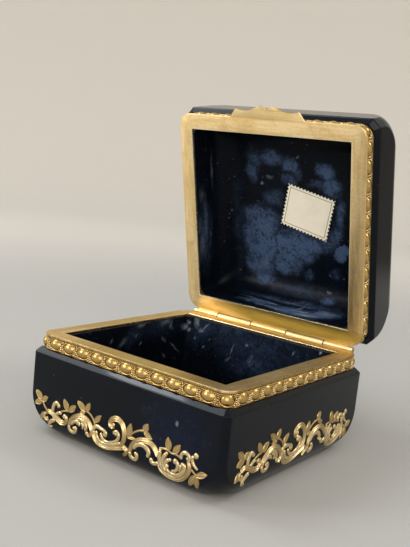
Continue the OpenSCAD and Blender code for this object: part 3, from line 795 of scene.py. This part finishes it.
# share of the full height across a stroke, with one or more ridges
def ridgeShape(t, ridges):
    sharp, blunt = stroke["crown"]
    crown = max(0.0, 1 - abs(t) ** sharp) ** blunt
    if ridges == 1:
        return crown
    wave = 0.5 - 0.5 * math.cos(math.pi * ridges * (t + 1))
    return crown * (stroke["valley"] + (1 - stroke["valley"]) * wave)


# share of the full height across a leaf: a raised rim and a vein
def leafShape(s):
    (sharp, blunt), (rimAt, rimWide), (veinHigh, veinWide) = leafForm["edge"], leafForm["rim"], leafForm["vein"]
    edge = max(0.0, 1 - abs(s) ** sharp) ** blunt
    rim = math.exp(-((abs(s) - rimAt) / rimWide) ** 2)
    vein = veinHigh * math.exp(-(s / veinWide) ** 2)
    return edge * (leafForm["hollow"] + (1 - leafForm["hollow"]) * max(rim, vein))


# one cross-section of a relief, from edge to edge, closed a little under the ground
def reliefRow(x, y, nx, ny, half, across, rise):
    steps = [-1 + 2 * k / across for k in range(across + 1)]
    row = [(x + nx * half * s, y + ny * half * s, rise(s)) for s in steps]
    return row + [(x + nx * half * s, y + ny * half * s, -stroke["sink"]) for s in (1, -1)]


def reliefStroke(name, points, ridges=1, height=0.7, step=0.4):
    path = smoothPath(points, step)
    runs = [0.0]
    for a, b in zip(path, path[1:]):
        runs.append(runs[-1] + math.dist(a[:2], b[:2]))
    least, more = stroke["thinLift"]
    rows = []
    for i, (x, y, w) in enumerate(path):
        ahead, behind = path[min(i + 1, len(path) - 1)], path[max(i - 1, 0)]
        dx, dy = ahead[0] - behind[0], ahead[1] - behind[1]
        size = math.hypot(dx, dy) or 1.0
        half = w / 2
        for reach, radius in ((runs[i], path[0][2] / 2), (runs[-1] - runs[i], path[-1][2] / 2)):
            if reach < radius:
                half *= math.sqrt(max(0.0, 1 - (1 - reach / radius) ** 2))
        lift = height * min(1.0, half / (stroke["fullAt"] * max(w, 1.0))) * min(1.0, least + more * w)
        rows.append(reliefRow(x, y, -dy / size, dx / size, half, stroke["steps"] * (1 + ridges),
                              lambda t: lift * ridgeShape(t, ridges)))
    return shapedGrid(name, rows, weld["relief"])


def reliefLeaf(name, foot, tip, width, height=0.5, along=14, across=10):
    dx, dy = tip[0] - foot[0], tip[1] - foot[1]
    size = math.hypot(dx, dy)
    rows = []
    for i in range(along + 1):
        t = i / along
        bulge = math.sin(math.pi * t ** leafForm["belly"]) ** leafForm["round"] if 0 < i < along else 0.0
        half = width / 2 * bulge
        lift = height * min(1.0, half / (leafForm["fullAt"] * width))
        rows.append(reliefRow(foot[0] + dx * t, foot[1] + dy * t, -dy / size, dx / size, half, across,
                              lambda s: lift * leafShape(s)))
    return shapedGrid(name, rows, weld["relief"])


# cap of a ball: a sphere cut at a height and closed, then sized by its foot and its rise
def reliefBall(name, centre, size, segments=14, rings=8, cut=0.0, under=0.05):
    deselectAll()
    bpy.ops.mesh.primitive_uv_sphere_add(segments=segments, ring_count=rings, radius=1.0)
    obj = bpy.context.object
    obj.name = name
    editAll(obj)
    bpy.ops.mesh.bisect(plane_co=(0, 0, cut - under), plane_no=(0, 0, 1), use_fill=True, clear_inner=True)
    bpy.ops.object.mode_set(mode="OBJECT")
    foot, rise = math.sqrt(1 - cut * cut), 1 - cut
    obj.data.transform(Matrix.Translation((*centre, 0.0))
                       @ Matrix.Diagonal((size[0] / foot, size[1] / foot, size[2] / rise, 1.0))
                       @ Matrix.Translation((0.0, 0.0, -cut)))
    return obj


def keepRelief(obj, full, least=0.0, most=1.0):
    layer = obj.data.attributes.new("relief", "FLOAT", "POINT")
    for vertex, item in zip(obj.data.vertices, layer.data):
        item.value = max(least, min(most, vertex.co.z / full))


# galleries: one egg in its cup with a dart beside it, copied round the strip

gallery = {"half": 55.4, "radius": 6.4, "thick": 0.6, "top": 1.3, "high": 5.9, "thread": 0.5,
           "threadRise": (0.4, 0.7), "threadSteps": 6, "sideBeads": 11, "egg": (3.5, 2.7, 1.6), "eggCut": 0.5,
           "eggLift": -0.02, "eggTone": (0.2, 0.34), "cup": (3.98, 2.5, 0.75), "cupRise": 0.95, "cupFull": 1.2,
           "grooveDirtAndShade": (3.5, 2.45, 0.55), "grooveRise": 0.06, "cupTurn": 130, "cupStep": 20, "cupTaper": 0.16,
           "dart": ((0.0, 1.2), (0.0, -2.75), 0.9), "dartRise": 0.62, "full": 1.58, "pearlFull": 0.7, "ground": 0.14,
           "cornerSqueeze": 0.84, "lidShare": 0.992, "smooth": 45}
# small bosses of the ground between two cups, then above an egg: along, up, radius, rise
pearls = [
    (-2.0, 2.35, 0.3, 0.41), (-1.2, 2.3, 0.32, 0.46), (-0.4, 2.35, 0.3, 0.43), (0.4, 2.3, 0.32, 0.46),
    (1.2, 2.35, 0.3, 0.41), (2.0, 2.3, 0.32, 0.43), (-1.5, 1.6, 0.34, 0.41), (-0.6, 1.55, 0.4, 0.49),
    (0.5, 1.6, 0.38, 0.46), (1.4, 1.55, 0.34, 0.41), (-0.75, 0.7, 0.4, 0.62), (0.7, 0.75, 0.42, 0.62),
    (-0.65, -0.35, 0.4, 0.61), (0.65, -0.3, 0.38, 0.62), (-0.7, -1.3, 0.42, 0.62), (0.75, -1.25, 0.4, 0.61),
    (-1.5, -2.1, 0.42, 0.58), (1.5, -2.15, 0.42, 0.61), (-0.6, -2.25, 0.4, 0.52), (0.6, -2.2, 0.4, 0.55),
]
bandPearls = [
    (-2.0, 2.3, 0.32, 0.41), (-1.25, 2.5, 0.3, 0.49), (-0.5, 2.4, 0.34, 0.43), (0.3, 2.5, 0.3, 0.52),
    (1.05, 2.4, 0.32, 0.41), (1.85, 2.35, 0.34, 0.46),
]


# points of an arc round the egg, open at the top
def cupPath(wide, tall, width):
    turn = gallery["cupTurn"]
    return [(wide * math.sin(a), gallery["eggLift"] - tall * math.cos(a),
             width * (1.0 - gallery["cupTaper"] * abs(a)))
            for a in (math.radians(d) for d in range(-turn, turn + 1, gallery["cupStep"]))]


def pearlBalls(places):
    return [reliefBall("pearl", (x, y), (r, r, rise), segments=8, rings=6) for x, y, r, rise in places]


def galleryUnit():
    egg = reliefBall("egg", (0.0, gallery["eggLift"]), gallery["egg"], segments=20, rings=14, cut=gallery["eggCut"])
    keepRelief(egg, gallery["full"], *gallery["eggTone"])
    cup = reliefStroke("cup", cupPath(*gallery["cup"]), height=gallery["cupRise"], step=0.5)
    keepRelief(cup, gallery["cupFull"])
    # a thin dark ring in the gap round the egg: dirt with painted shade
    grooveDirtAndShade = reliefStroke("grooveDirtAndShade", cupPath(*gallery["grooveDirtAndShade"]), height=gallery["grooveRise"], step=0.8)
    ground = [grooveDirtAndShade] + pearlBalls(bandPearls)
    for piece in ground:
        keepRelief(piece, gallery["pearlFull"])
    return joinAll([egg, cup] + ground, "galleryUnit")


def galleryDart():
    pieces = [reliefLeaf("dart", *gallery["dart"], gallery["dartRise"], along=8, across=6)] + pearlBalls(pearls)
    dart = joinAll(pieces, "galleryDart")
    keepRelief(dart, gallery["pearlFull"])
    return dart


straightRun = gallery["half"] - gallery["radius"]  # half of a side, up to where the corner starts
quarterRun = 2 * straightRun + gallery["radius"] * math.pi / 2


# place and outward direction along the strip, from the middle of the front side
def stripPoint(run):
    run = (run + straightRun) % (4 * quarterRun)
    side = int(run // quarterRun)
    run -= side * quarterRun
    if run < 2 * straightRun:
        spot, out = Vector((run - straightRun, -gallery["half"])), Vector((0.0, -1.0))
    else:
        angle = (run - 2 * straightRun) / gallery["radius"]
        out = Vector((math.sin(angle), -math.cos(angle)))
        spot = Vector((straightRun, -straightRun)) + out * gallery["radius"]
    turn = Matrix.Rotation(side * math.pi / 2, 2)
    return turn @ spot, turn @ out


def alongStrip(source, run, squeeze=1.0):
    copy = copyOf(source, source.name + "Copy")
    middle = gallery["top"] + gallery["high"] / 2
    for vertex in copy.data.vertices:
        spot, out = stripPoint(run + vertex.co.x * squeeze)
        place = spot + out * vertex.co.z
        vertex.co = (place.x * mm, place.y * mm, (vertex.co.y - middle) * mm)
    return copy


# the strip itself, with a raised thread along each edge
def galleryRing():
    top, low = gallery["top"], gallery["top"] + gallery["high"]
    wide, back, steps = gallery["thread"], -gallery["thick"], gallery["threadSteps"]
    profile = [(back, top), (0.0, top)]
    for start, rise in zip((top, low - wide), gallery["threadRise"]):
        profile += [(rise * math.sin(math.pi * k / steps), start + wide * k / steps) for k in range(steps + 1)]
    profile += [(0.0, low), (back, low), (back, top)]
    ring = shapedGrid("strip", [rimLoop(gallery["half"] + out, depth, radius=gallery["radius"] + out, points=12)
                                for out, depth in profile])
    keepRelief(ring, 1.0, gallery["ground"], gallery["ground"])
    return ring


def makeGallery():
    unit, dart = galleryUnit(), galleryDart()
    count = gallery["sideBeads"] + 1
    pitch = quarterRun / count
    pieces = [galleryRing()]
    for i in range(4 * count):
        squeeze = gallery["cornerSqueeze"] if i % count == count // 2 else 1.0
        pieces.append(alongStrip(unit, i * pitch, squeeze))
        pieces.append(alongStrip(dart, (i + 0.5) * pitch))
    for source in (unit, dart):
        bpy.data.objects.remove(source)
    ring = joinAll(pieces, "gallery")
    bpy.ops.object.shade_smooth_by_angle(angle=math.radians(gallery["smooth"]))
    return ring


first = makeGallery()
second = copyOf(first, "lidGallery")
second.data.transform(Matrix.Diagonal((gallery["lidShare"], gallery["lidShare"], 1.0, 1.0)))
for piece, body in ((first, "base"), (second, "lid")):
    piece.name = piece.data.name = body + "_egg_and_dart"
    placeOn(piece, body)
    finishPiece(piece, body, "gilt_gallery", body + "_gallery", galleryGilt)
print("galleries")


# garland: drawn once flat as (along the wall, height above the underside, width), then laid on each wall

garland = {"height": 0.7, "stemHeight": 0.42, "ballUnder": 0.01, "wall": 58.0, "edge": 10.0, "sideLift": 1.8,
           "fuller": 1.22, "broader": 1.12, "sprigEnd": -47.5, "sprigLow": 15.0, "sideNudge": 4.5, "smooth": 60}
# each scroll: how many ridges, and its points
scrolls = [
    # small double scroll at the left: crook, band with its curl, upper lip, ring, tail
    (1, [(-40.5, 12.6, 1.5), (-40.5, 14.8, 1.7), (-39.8, 16.8, 1.8), (-38.4, 17.7, 1.8), (-37.2, 17.2, 1.7),
         (-37.0, 16.4, 1.5)]),
    (3, [(-45.0, 10.6, 1.6), (-44.2, 11.9, 1.9), (-42.2, 12.3, 2.1), (-39.6, 11.6, 2.4), (-37.0, 10.3, 2.6),
         (-34.4, 9.5, 2.4), (-32.2, 9.9, 2.1), (-31.2, 11.4, 1.8), (-31.3, 12.8, 1.6), (-32.2, 13.5, 1.4)]),
    (1, [(-38.6, 12.0, 1.2), (-36.8, 13.3, 1.5), (-35.3, 13.8, 1.4), (-34.6, 12.9, 1.1)]),
    (1, [(-44.9, 11.2, 1.2), (-46.0, 9.9, 1.3), (-45.6, 8.3, 1.3), (-44.2, 7.8, 1.3), (-43.3, 8.6, 1.2)]),
    (1, [(-38.6, 9.3, 1.6), (-40.4, 8.6, 1.8), (-42.3, 7.2, 1.7), (-43.3, 5.6, 1.3), (-42.5, 4.9, 1.1),
         (-41.2, 5.6, 1.1)]),
    # arched scroll: outer ridge, left curl, middle ridges, tail
    (3, [(-29.0, 9.2, 1.8), (-28.8, 11.4, 2.0), (-27.0, 13.7, 2.2), (-24.2, 15.4, 2.3), (-21.0, 16.1, 2.3),
         (-18.0, 15.4, 2.3), (-15.8, 13.7, 2.2), (-14.6, 11.6, 2.0), (-14.8, 9.7, 1.7), (-16.2, 8.7, 1.5),
         (-17.3, 8.9, 1.4)]),
    (1, [(-29.0, 10.0, 1.4), (-29.0, 8.2, 1.6), (-27.8, 7.1, 1.6), (-26.0, 7.2, 1.6), (-24.7, 8.3, 1.5),
         (-24.6, 9.7, 1.3), (-25.6, 10.2, 1.2)]),
    (1, [(-27.6, 10.4, 1.2), (-26.4, 12.1, 1.5), (-24.4, 13.0, 1.7), (-22.8, 12.4, 1.6), (-22.4, 11.0, 1.3)]),
    (1, [(-25.6, 13.9, 1.0), (-23.0, 14.5, 1.4), (-20.4, 14.2, 1.7), (-18.6, 12.8, 1.8), (-18.2, 11.2, 1.6),
         (-19.0, 10.2, 1.3)]),
    (1, [(-21.6, 13.4, 0.9), (-20.4, 12.6, 1.2), (-20.1, 11.2, 1.2), (-20.8, 10.6, 0.9)]),
    # great double scroll: left shoulder with its ball, three sweeping ridges
    (1, [(-13.6, 11.6, 1.5), (-13.0, 13.6, 1.7), (-11.2, 14.5, 1.8), (-9.0, 14.1, 1.6), (-7.4, 13.9, 1.4),
         (-5.9, 13.2, 1.5), (-5.6, 11.9, 1.5)]),
    (3, [(-13.5, 12.4, 1.8), (-13.1, 9.8, 2.0), (-11.6, 7.5, 2.2), (-9.2, 6.4, 2.2), (-6.0, 6.3, 2.1),
         (-3.0, 7.0, 2.0), (0.2, 8.1, 2.0), (3.2, 9.0, 2.0), (5.4, 9.9, 2.0), (6.8, 9.4, 2.0), (6.8, 8.0, 1.8),
         (5.6, 6.7, 1.4), (4.6, 6.0, 1.1)]),
    (1, [(-11.4, 12.6, 1.2), (-11.3, 10.4, 1.5), (-9.8, 8.6, 1.6), (-7.0, 7.9, 1.5), (-4.0, 8.4, 1.5),
         (-1.0, 9.4, 1.5), (1.6, 10.4, 1.4), (3.4, 11.4, 1.2)]),
    (1, [(-8.6, 12.6, 1.2), (-8.3, 10.8, 1.5), (-6.8, 9.6, 1.5), (-4.6, 9.3, 1.3), (-2.4, 9.9, 1.2),
         (-0.2, 10.9, 1.3), (1.5, 12.4, 1.5), (1.8, 14.2, 1.6), (0.6, 15.5, 1.6), (-0.9, 14.9, 1.5),
         (-0.7, 13.8, 1.3)]),
    # tall crook above it
    (3, [(2.6, 9.9, 1.6), (4.4, 11.8, 2.0), (5.1, 14.6, 2.2), (4.8, 17.4, 2.3), (3.6, 19.7, 2.4),
         (1.6, 21.0, 2.4), (-0.6, 21.2, 2.4), (-2.8, 20.2, 2.3), (-3.8, 18.6, 2.1), (-3.2, 17.2, 1.8),
         (-1.8, 16.9, 1.5), (-1.3, 17.7, 1.2)]),
    # second arched scroll: outer ridge, inner ridge, left curl
    (3, [(9.2, 9.0, 1.8), (9.4, 11.2, 2.0), (10.8, 13.6, 2.2), (13.2, 15.5, 2.3), (16.2, 16.5, 2.3),
         (19.2, 16.7, 2.3), (22.0, 15.6, 2.3), (23.8, 13.8, 2.1), (24.8, 11.8, 1.8)]),
    (1, [(11.0, 11.0, 1.4), (11.9, 12.8, 1.8), (13.8, 14.1, 1.9), (16.2, 14.4, 2.0), (18.4, 13.6, 2.1),
         (19.6, 12.0, 2.0), (19.3, 10.6, 1.8)]),
    (1, [(9.2, 9.6, 1.4), (9.3, 7.7, 1.7), (10.6, 6.5, 1.7), (12.2, 6.8, 1.7), (13.1, 8.2, 1.7),
         (12.8, 9.4, 1.6), (11.6, 9.4, 1.2)]),
    # leaf scroll at the right: fanned ridges, sweep, inner curls
    (1, [(25.4, 9.7, 1.4), (23.6, 8.6, 1.6), (21.8, 8.6, 1.6), (21.1, 9.7, 1.5), (22.0, 10.3, 1.2)]),
    (1, [(25.8, 15.4, 1.6), (25.6, 13.0, 1.8), (26.0, 10.4, 1.8), (27.0, 8.2, 1.7), (28.6, 6.6, 1.5)]),
    (1, [(29.3, 15.0, 1.6), (28.0, 13.2, 1.8), (27.6, 10.8, 1.7), (28.2, 8.6, 1.5), (29.6, 7.0, 1.3)]),
    (1, [(31.3, 12.9, 1.5), (29.8, 12.0, 1.6), (29.2, 10.4, 1.5), (29.6, 8.8, 1.3)]),
    (3, [(25.6, 9.4, 1.6), (26.6, 7.2, 1.9), (28.8, 5.6, 2.1), (31.6, 5.0, 2.2), (34.8, 5.4, 2.2),
         (37.8, 6.8, 2.2), (40.2, 8.9, 2.1), (41.5, 11.2, 2.0), (41.6, 13.6, 1.8), (40.8, 15.2, 1.5)]),
    (1, [(30.2, 10.0, 1.3), (30.0, 8.6, 1.4), (31.4, 7.3, 1.5), (34.0, 7.1, 1.6), (36.8, 8.2, 1.7),
         (38.8, 10.2, 1.8), (39.2, 12.4, 1.8), (38.2, 13.4, 1.7)]),
    (1, [(32.4, 8.6, 1.0), (34.2, 8.9, 1.3), (35.6, 10.4, 1.5), (35.5, 12.4, 1.7), (34.2, 13.4, 1.7),
         (33.2, 12.7, 1.4)]),
    (1, [(36.6, 9.4, 0.9), (37.3, 11.0, 1.1), (37.0, 12.8, 1.2)]),
    # ring and hook at the far right
    (1, [(37.4, 14.9, 1.2), (37.0, 16.6, 1.5), (38.0, 18.1, 1.6), (39.8, 18.3, 1.6), (41.2, 17.2, 1.5),
         (41.3, 15.6, 1.3), (40.2, 15.1, 1.1)]),
    (1, [(46.2, 13.3, 0.9), (44.4, 14.3, 1.2), (43.2, 15.6, 1.4), (42.8, 17.2, 1.4), (43.2, 18.6, 1.3)]),
]
# balls: along, up, radius; leaves: foot, tip, width
balls = [
    (-36.9, 16.7, 1.15), (-32.5, 12.8, 1.25), (-44.0, 9.0, 0.8), (-25.8, 9.3, 0.9), (-23.8, 12.4, 1.0),
    (-17.5, 9.3, 1.1), (-6.2, 12.3, 1.35), (0.3, 14.4, 0.95), (-1.6, 18.2, 0.9), (12.6, 9.3, 1.05),
    (19.3, 10.7, 1.0), (21.7, 9.6, 0.85), (30.2, 9.8, 0.95), (34.0, 12.9, 1.05), (38.1, 12.9, 1.1),
    (31.4, 12.9, 0.85), (29.4, 15.1, 0.85), (25.8, 15.4, 0.8), (44.5, 18.8, 1.35), (40.3, 16.3, 0.75),
]
leaves = [
    ((-48.4, 16.7), (-53.0, 20.5), 3.2), ((-48.4, 16.3), (-44.4, 18.9), 2.9),
    ((-48.0, 16.2), (-53.3, 14.1), 3.1), ((-45.4, 11.4), (-49.2, 7.3), 2.5), ((-30.6, 16.1), (-33.7, 21.2), 3.1),
    ((-29.8, 16.1), (-25.6, 20.0), 3.1), ((-19.6, 19.3), (-24.9, 22.7), 3.1),
    ((-19.0, 19.2), (-16.9, 23.8), 2.8), ((-19.2, 19.0), (-23.0, 17.6), 2.3), ((-13.3, 15.9), (-9.3, 20.1), 2.7),
    ((7.3, 15.3), (8.4, 21.9), 3.2), ((6.7, 15.3), (12.0, 16.0), 1.7), ((15.9, 20.5), (17.9, 24.4), 3.2),
    ((16.0, 20.5), (21.0, 18.4), 2.4), ((30.3, 16.2), (29.2, 22.3), 3.2), ((32.8, 16.2), (36.1, 20.9), 3.1),
    ((45.4, 10.7), (51.0, 13.0), 2.8), ((45.2, 10.8), (41.5, 4.9), 2.9), ((45.8, 10.6), (45.9, 4.9), 2.6),
]
stems = [
    [(-47.8, 16.0, 1.0), (-46.9, 14.5, 1.0), (-45.4, 13.1, 1.0), (-44.2, 12.4, 1.0)],
    [(-29.6, 16.2, 1.0), (-32.6, 15.5, 1.0), (-35.6, 14.3, 1.0)],
    [(-19.2, 19.4, 1.0), (-16.8, 18.9, 1.0), (-14.8, 17.5, 1.0), (-13.4, 15.7, 1.0), (-13.0, 14.2, 1.0)],
    [(8.2, 16.2, 0.9), (10.2, 18.2, 1.0), (12.8, 19.8, 1.0), (15.2, 20.5, 1.0), (16.4, 20.6, 1.0)],
    [(24.8, 15.9, 1.0), (27.4, 16.5, 1.0), (29.8, 16.5, 1.0), (31.8, 15.9, 1.0), (34.4, 16.1, 1.0),
     (37.0, 15.3, 1.0)],
    [(42.6, 12.5, 1.0), (44.2, 11.5, 1.0), (45.6, 10.6, 1.0)],
]


# the first sprig can be nudged along the wall
def drawGarland(nudge):
    pieces = [reliefStroke("scroll", [(x, y, w * garland["fuller"]) for x, y, w in path], ridges, garland["height"])
              for ridges, path in scrolls]
    for path in stems:
        shift = nudge if path[0][0] < garland["sprigEnd"] else 0.0
        path = [(path[0][0] + shift, *path[0][1:]), *path[1:]]
        pieces.append(reliefStroke("stem", path, height=garland["stemHeight"]))
    for foot, tip, width in leaves:
        shift = nudge if foot[0] < garland["sprigEnd"] and foot[1] > garland["sprigLow"] else 0.0
        foot, tip = ((x + shift, y) for x, y in (foot, tip))
        pieces.append(reliefLeaf("leaf", foot, tip, width * garland["broader"]))
    rise = garland["height"] - garland["ballUnder"]
    pieces += [reliefBall("ball", (x, y), (r, r, rise)) for x, y, r in balls]
    flat = joinAll(pieces, "garland")
    keepRelief(flat, garland["height"])
    bpy.ops.object.shade_smooth_by_angle(angle=math.radians(garland["smooth"]))
    return flat


# flat (x, y, z) becomes (x, -z, y), which keeps the hand, so the faces still point outwards
def layOnWall(flat, name, turn, lift):
    copy = copyOf(flat, name)
    edge = garland["edge"]
    for vertex in copy.data.vertices:
        along, up, rise = vertex.co
        fall = min(1.0, max(0.0, edge - up - lift) / edge)
        out = garland["wall"] - edge + (edge + rise) * math.sqrt(1 - fall * fall)
        height = up + lift if fall == 0.0 else edge - (edge + rise) * fall
        vertex.co = (along * mm, -out * mm, height * mm)
    copy.data.transform(Matrix.Rotation(math.radians(turn), 4, "Z"))
    return copy


for nudge, lift, sides in ((0.0, 0.0, {"front": 0, "back": 180}),
                           (garland["sideNudge"], garland["sideLift"], {"right": 90, "left": 270})):
    flatGarland = drawGarland(nudge)
    for side, turn in sides.items():
        piece = layOnWall(flatGarland, side + "_garland", turn, lift)
        finishPiece(piece, "base", "raised_gilding", side + "_scrollwork", scrollGilt)
    bpy.data.objects.remove(flatGarland)
print("garlands")


# hinge and thumbpiece follow their nodes' own outlines, with softened edges

def outlineCopy(node, name):
    copy = bpy.data.objects.new(name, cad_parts[node].data.copy())
    scene.collection.objects.link(copy)
    editAll(copy)
    bpy.ops.mesh.remove_doubles(threshold=weld["copy"])
    bpy.ops.mesh.dissolve_limited(angle_limit=math.radians(1))
    bpy.ops.object.mode_set(mode="OBJECT")
    bpy.ops.mesh.customdata_custom_splitnormals_clear()
    for layer in list(copy.data.uv_layers):
        copy.data.uv_layers.remove(layer)
    return copy


knuckles = {"soft": 0.12, "base": ("left", "right"), "lid": ("left", "centre", "right")}
for body in ("base", "lid"):
    for side in knuckles[body]:
        node = body + "_knuckle_" + side
        piece = outlineCopy(node, node + "_barrel")
        softEdges(piece, knuckles["soft"], segments=2, angle=35, smooth=40)
        keepFlatMap(piece)
        finishPiece(piece, body, "gilt_plate", node, plateBrass)

# the tab laps a little over the plate's rounded edge, as the solder fills that line
thumb = {"lap": 0.5, "proud": 0.03, "soft": 0.22}
tab = outlineCopy("thumbpiece", "thumbpiece_tab")
tab.data.transform(toLid.inverted())
tab.data.flip_normals()
for vertex in tab.data.vertices:
    if vertex.co.y > -(plate["half"] + plate["slack"]) * mm:
        vertex.co.y += thumb["lap"] * mm
    vertex.co.z += thumb["proud"] * mm
softEdges(tab, thumb["soft"], segments=3, angle=35, smooth=40)
keepFlatMap(tab)
placeOn(tab, "lid")
finishPiece(tab, "lid", "gilt_plate", "thumbpiece", plateBrass)

labelCut = {"x": 9.3, "y": -2.95, "turn": 12.6, "roof": 25.0, "thick": 0.15, "along": 14, "across": 11,
            "bite": 0.72, "steps": 6, "inset": 2.0}


# outline of the label with half-round bites, or a plain rectangle inside it
def labelLoop(inset, depth):
    long, wide = labelLook["length"], labelLook["width"]
    loop = []
    for side in range(4):
        length, half, count = long, wide / 2, labelCut["along"]
        if side % 2:
            length, half, count = wide, long / 2, labelCut["across"]
        runs = [(-length / 2, 0.0)]
        for i in range(count):
            centre = (i + 0.5) * length / count - length / 2
            for k in range(labelCut["steps"] + 1):
                angle = math.pi * k / labelCut["steps"]
                runs.append((centre - labelCut["bite"] * math.cos(angle), labelCut["bite"] * math.sin(angle)))
        turn = Matrix.Rotation(side * math.pi / 2, 2)
        for run, bite in runs:
            if inset:
                run, bite = max(inset - length / 2, min(length / 2 - inset, run)), inset
            spot = turn @ Vector((run, bite - half))
            loop.append((spot.x * mm, spot.y * mm, -depth * mm))
    return loop


face, back, inset = labelCut["roof"] - labelCut["thick"], labelCut["roof"], labelCut["inset"]
rows = [labelLoop(*level) for level in ((inset, face), (0.0, face), (0.0, back), (inset, back))]
rows = [[(0.0, 0.0, -face * mm)] * len(rows[0])] + rows + [[(0.0, 0.0, -back * mm)] * len(rows[0])]
label = shapedGrid("label_stamp", rows)
keepFlatMap(label)
label.data.transform(Matrix.Translation((labelCut["x"] * mm, labelCut["y"] * mm, 0))
                     @ Matrix.Rotation(math.radians(labelCut["turn"]), 4, "Z"))
placeOn(label, "lid")
finishPiece(label, "lid", "label_paper", "paper_label", labelPaper)

# the pin and the cement stay as they are and take their materials
for node, material in (("hinge_pin", wireBrass), ("base_cement", plaster), ("lid_cement", plaster)):
    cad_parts[node].data.materials.clear()
    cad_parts[node].data.materials.append(material)
print("hinge, thumbpiece, label")


# stage: a pale floor that sweeps up all round, darker at the right behind the casket

sweep = {"middle": 0.4, "floor": 1.15, "bend": 0.5, "top": 1.5, "around": 64, "near": 0.3, "far": 0.95,
         "floorColour": (0.455, 0.45, 0.435), "wallColour": (0.70, 0.665, 0.61), "darkColour": (0.27, 0.24, 0.21),
         "darkPlace": (0.6, 1.15, 0.2), "darkInner": 0.35, "darkOuter": 0.75}


def makeStage():
    profile = [(0.0, 0.0), (sweep["middle"], 0.0), (sweep["floor"], 0.0)]
    profile += [(sweep["floor"] + sweep["bend"] * math.sin(a), sweep["bend"] * (1 - math.cos(a)))
                for a in (math.radians(d) for d in range(10, 91, 10))]
    profile.append((sweep["floor"] + sweep["bend"], sweep["top"]))
    angles = [2 * math.pi * i / sweep["around"] for i in range(sweep["around"])]
    rows = [[(r * math.cos(a), r * math.sin(a), z) for a in angles] for r, z in profile]
    obj = shapedGrid("sweep", rows, weld["stage"])
    bpy.ops.object.shade_smooth()
    mergeAndFace(obj, weld["stage"], True)
    material, tree, shader, place = newMaterial("paleSweep", Roughness=0.9, Specular_IOR_Level=0.2)
    away = addNode(tree, "ShaderNodeVectorMath", operation="LENGTH")
    tree.links.new(place, away.inputs[0])
    paler = mapRange(tree, away.outputs["Value"], sweep["near"], sweep["far"])
    tone = mixColour(tree, paler, sweep["floorColour"], sweep["wallColour"])
    dark = useGroup(tree, softPatch, place, Centre=sweep["darkPlace"],
                    Inner=sweep["darkInner"], Outer=sweep["darkOuter"])
    dress(tree, shader, mixColour(tree, dark, tone, sweep["darkColour"]))
    obj.data.materials.append(material)


makeStage()


# light: a window high at the left with one brighter pane, a lamp at the left in front, a fill at the right,
# a lamp behind at the right, and a soft sky

lamps = {
    "window": {"place": (-0.9, -0.26, 1.12), "size": 0.7, "power": 4.9, "colour": (0.97, 0.99, 1.0)},
    "pane": {"place": (-0.85, -0.3, 1.12), "size": 0.16, "power": 0.6, "colour": (0.97, 0.99, 1.0)},
    "front": {"place": (-0.85, -1.0, 0.57), "size": 0.4, "power": 5.2, "colour": (1.0, 0.985, 0.96)},
    "fill": {"place": (0.8, -1.1, 0.6), "size": 1.1, "power": 9.2, "colour": (1.0, 0.935, 0.83)},
    "rear": {"place": (0.82, 0.66, 1.15), "size": 0.45, "power": 4.4, "colour": (1.0, 0.97, 0.92)},
}
lampTarget = Vector((0, 0, 0.06))
skyLight = {"Color": (0.97, 0.985, 1.0, 1.0), "Strength": 0.74}
for name, lamp in lamps.items():
    deselectAll()
    bpy.ops.object.light_add(type="AREA", location=lamp["place"])
    light = bpy.context.object
    light.name = name
    light.data.shape = "SQUARE"
    light.data.size = lamp["size"]
    light.data.energy = lamp["power"]
    light.data.color = lamp["colour"]
    light.rotation_euler = (lampTarget - Vector(lamp["place"])).to_track_quat("-Z", "Y").to_euler()

world = bpy.data.worlds.new("softSky")
scene.world = world
world.use_nodes = True
for key, value in skyLight.items():
    world.node_tree.nodes["Background"].inputs[key].default_value = value


# camera, from the photograph's viewing angle

shot = {"place": (0.222288, -0.304034, 0.140004), "right": (0.7882355, 0.60656748, 0.10373371),
        "up": (-0.17450212, 0.05867138, 0.98290726), "back": (0.59011338, -0.79286415, 0.15209417),
        "focalPixels": 789.47, "highPixels": 547, "sensor": 36.0, "clip": (0.01, 20.0)}
deselectAll()
bpy.ops.object.camera_add(location=shot["place"])
camera = bpy.context.object
camera.data.sensor_fit = "VERTICAL"
camera.data.sensor_height = shot["sensor"]
camera.data.lens = shot["focalPixels"] * shot["sensor"] / shot["highPixels"]
camera.rotation_euler = Matrix((shot["right"], shot["up"], shot["back"])).transposed().to_euler()
camera.data.clip_start, camera.data.clip_end = shot["clip"]
scene.camera = camera

print("done")
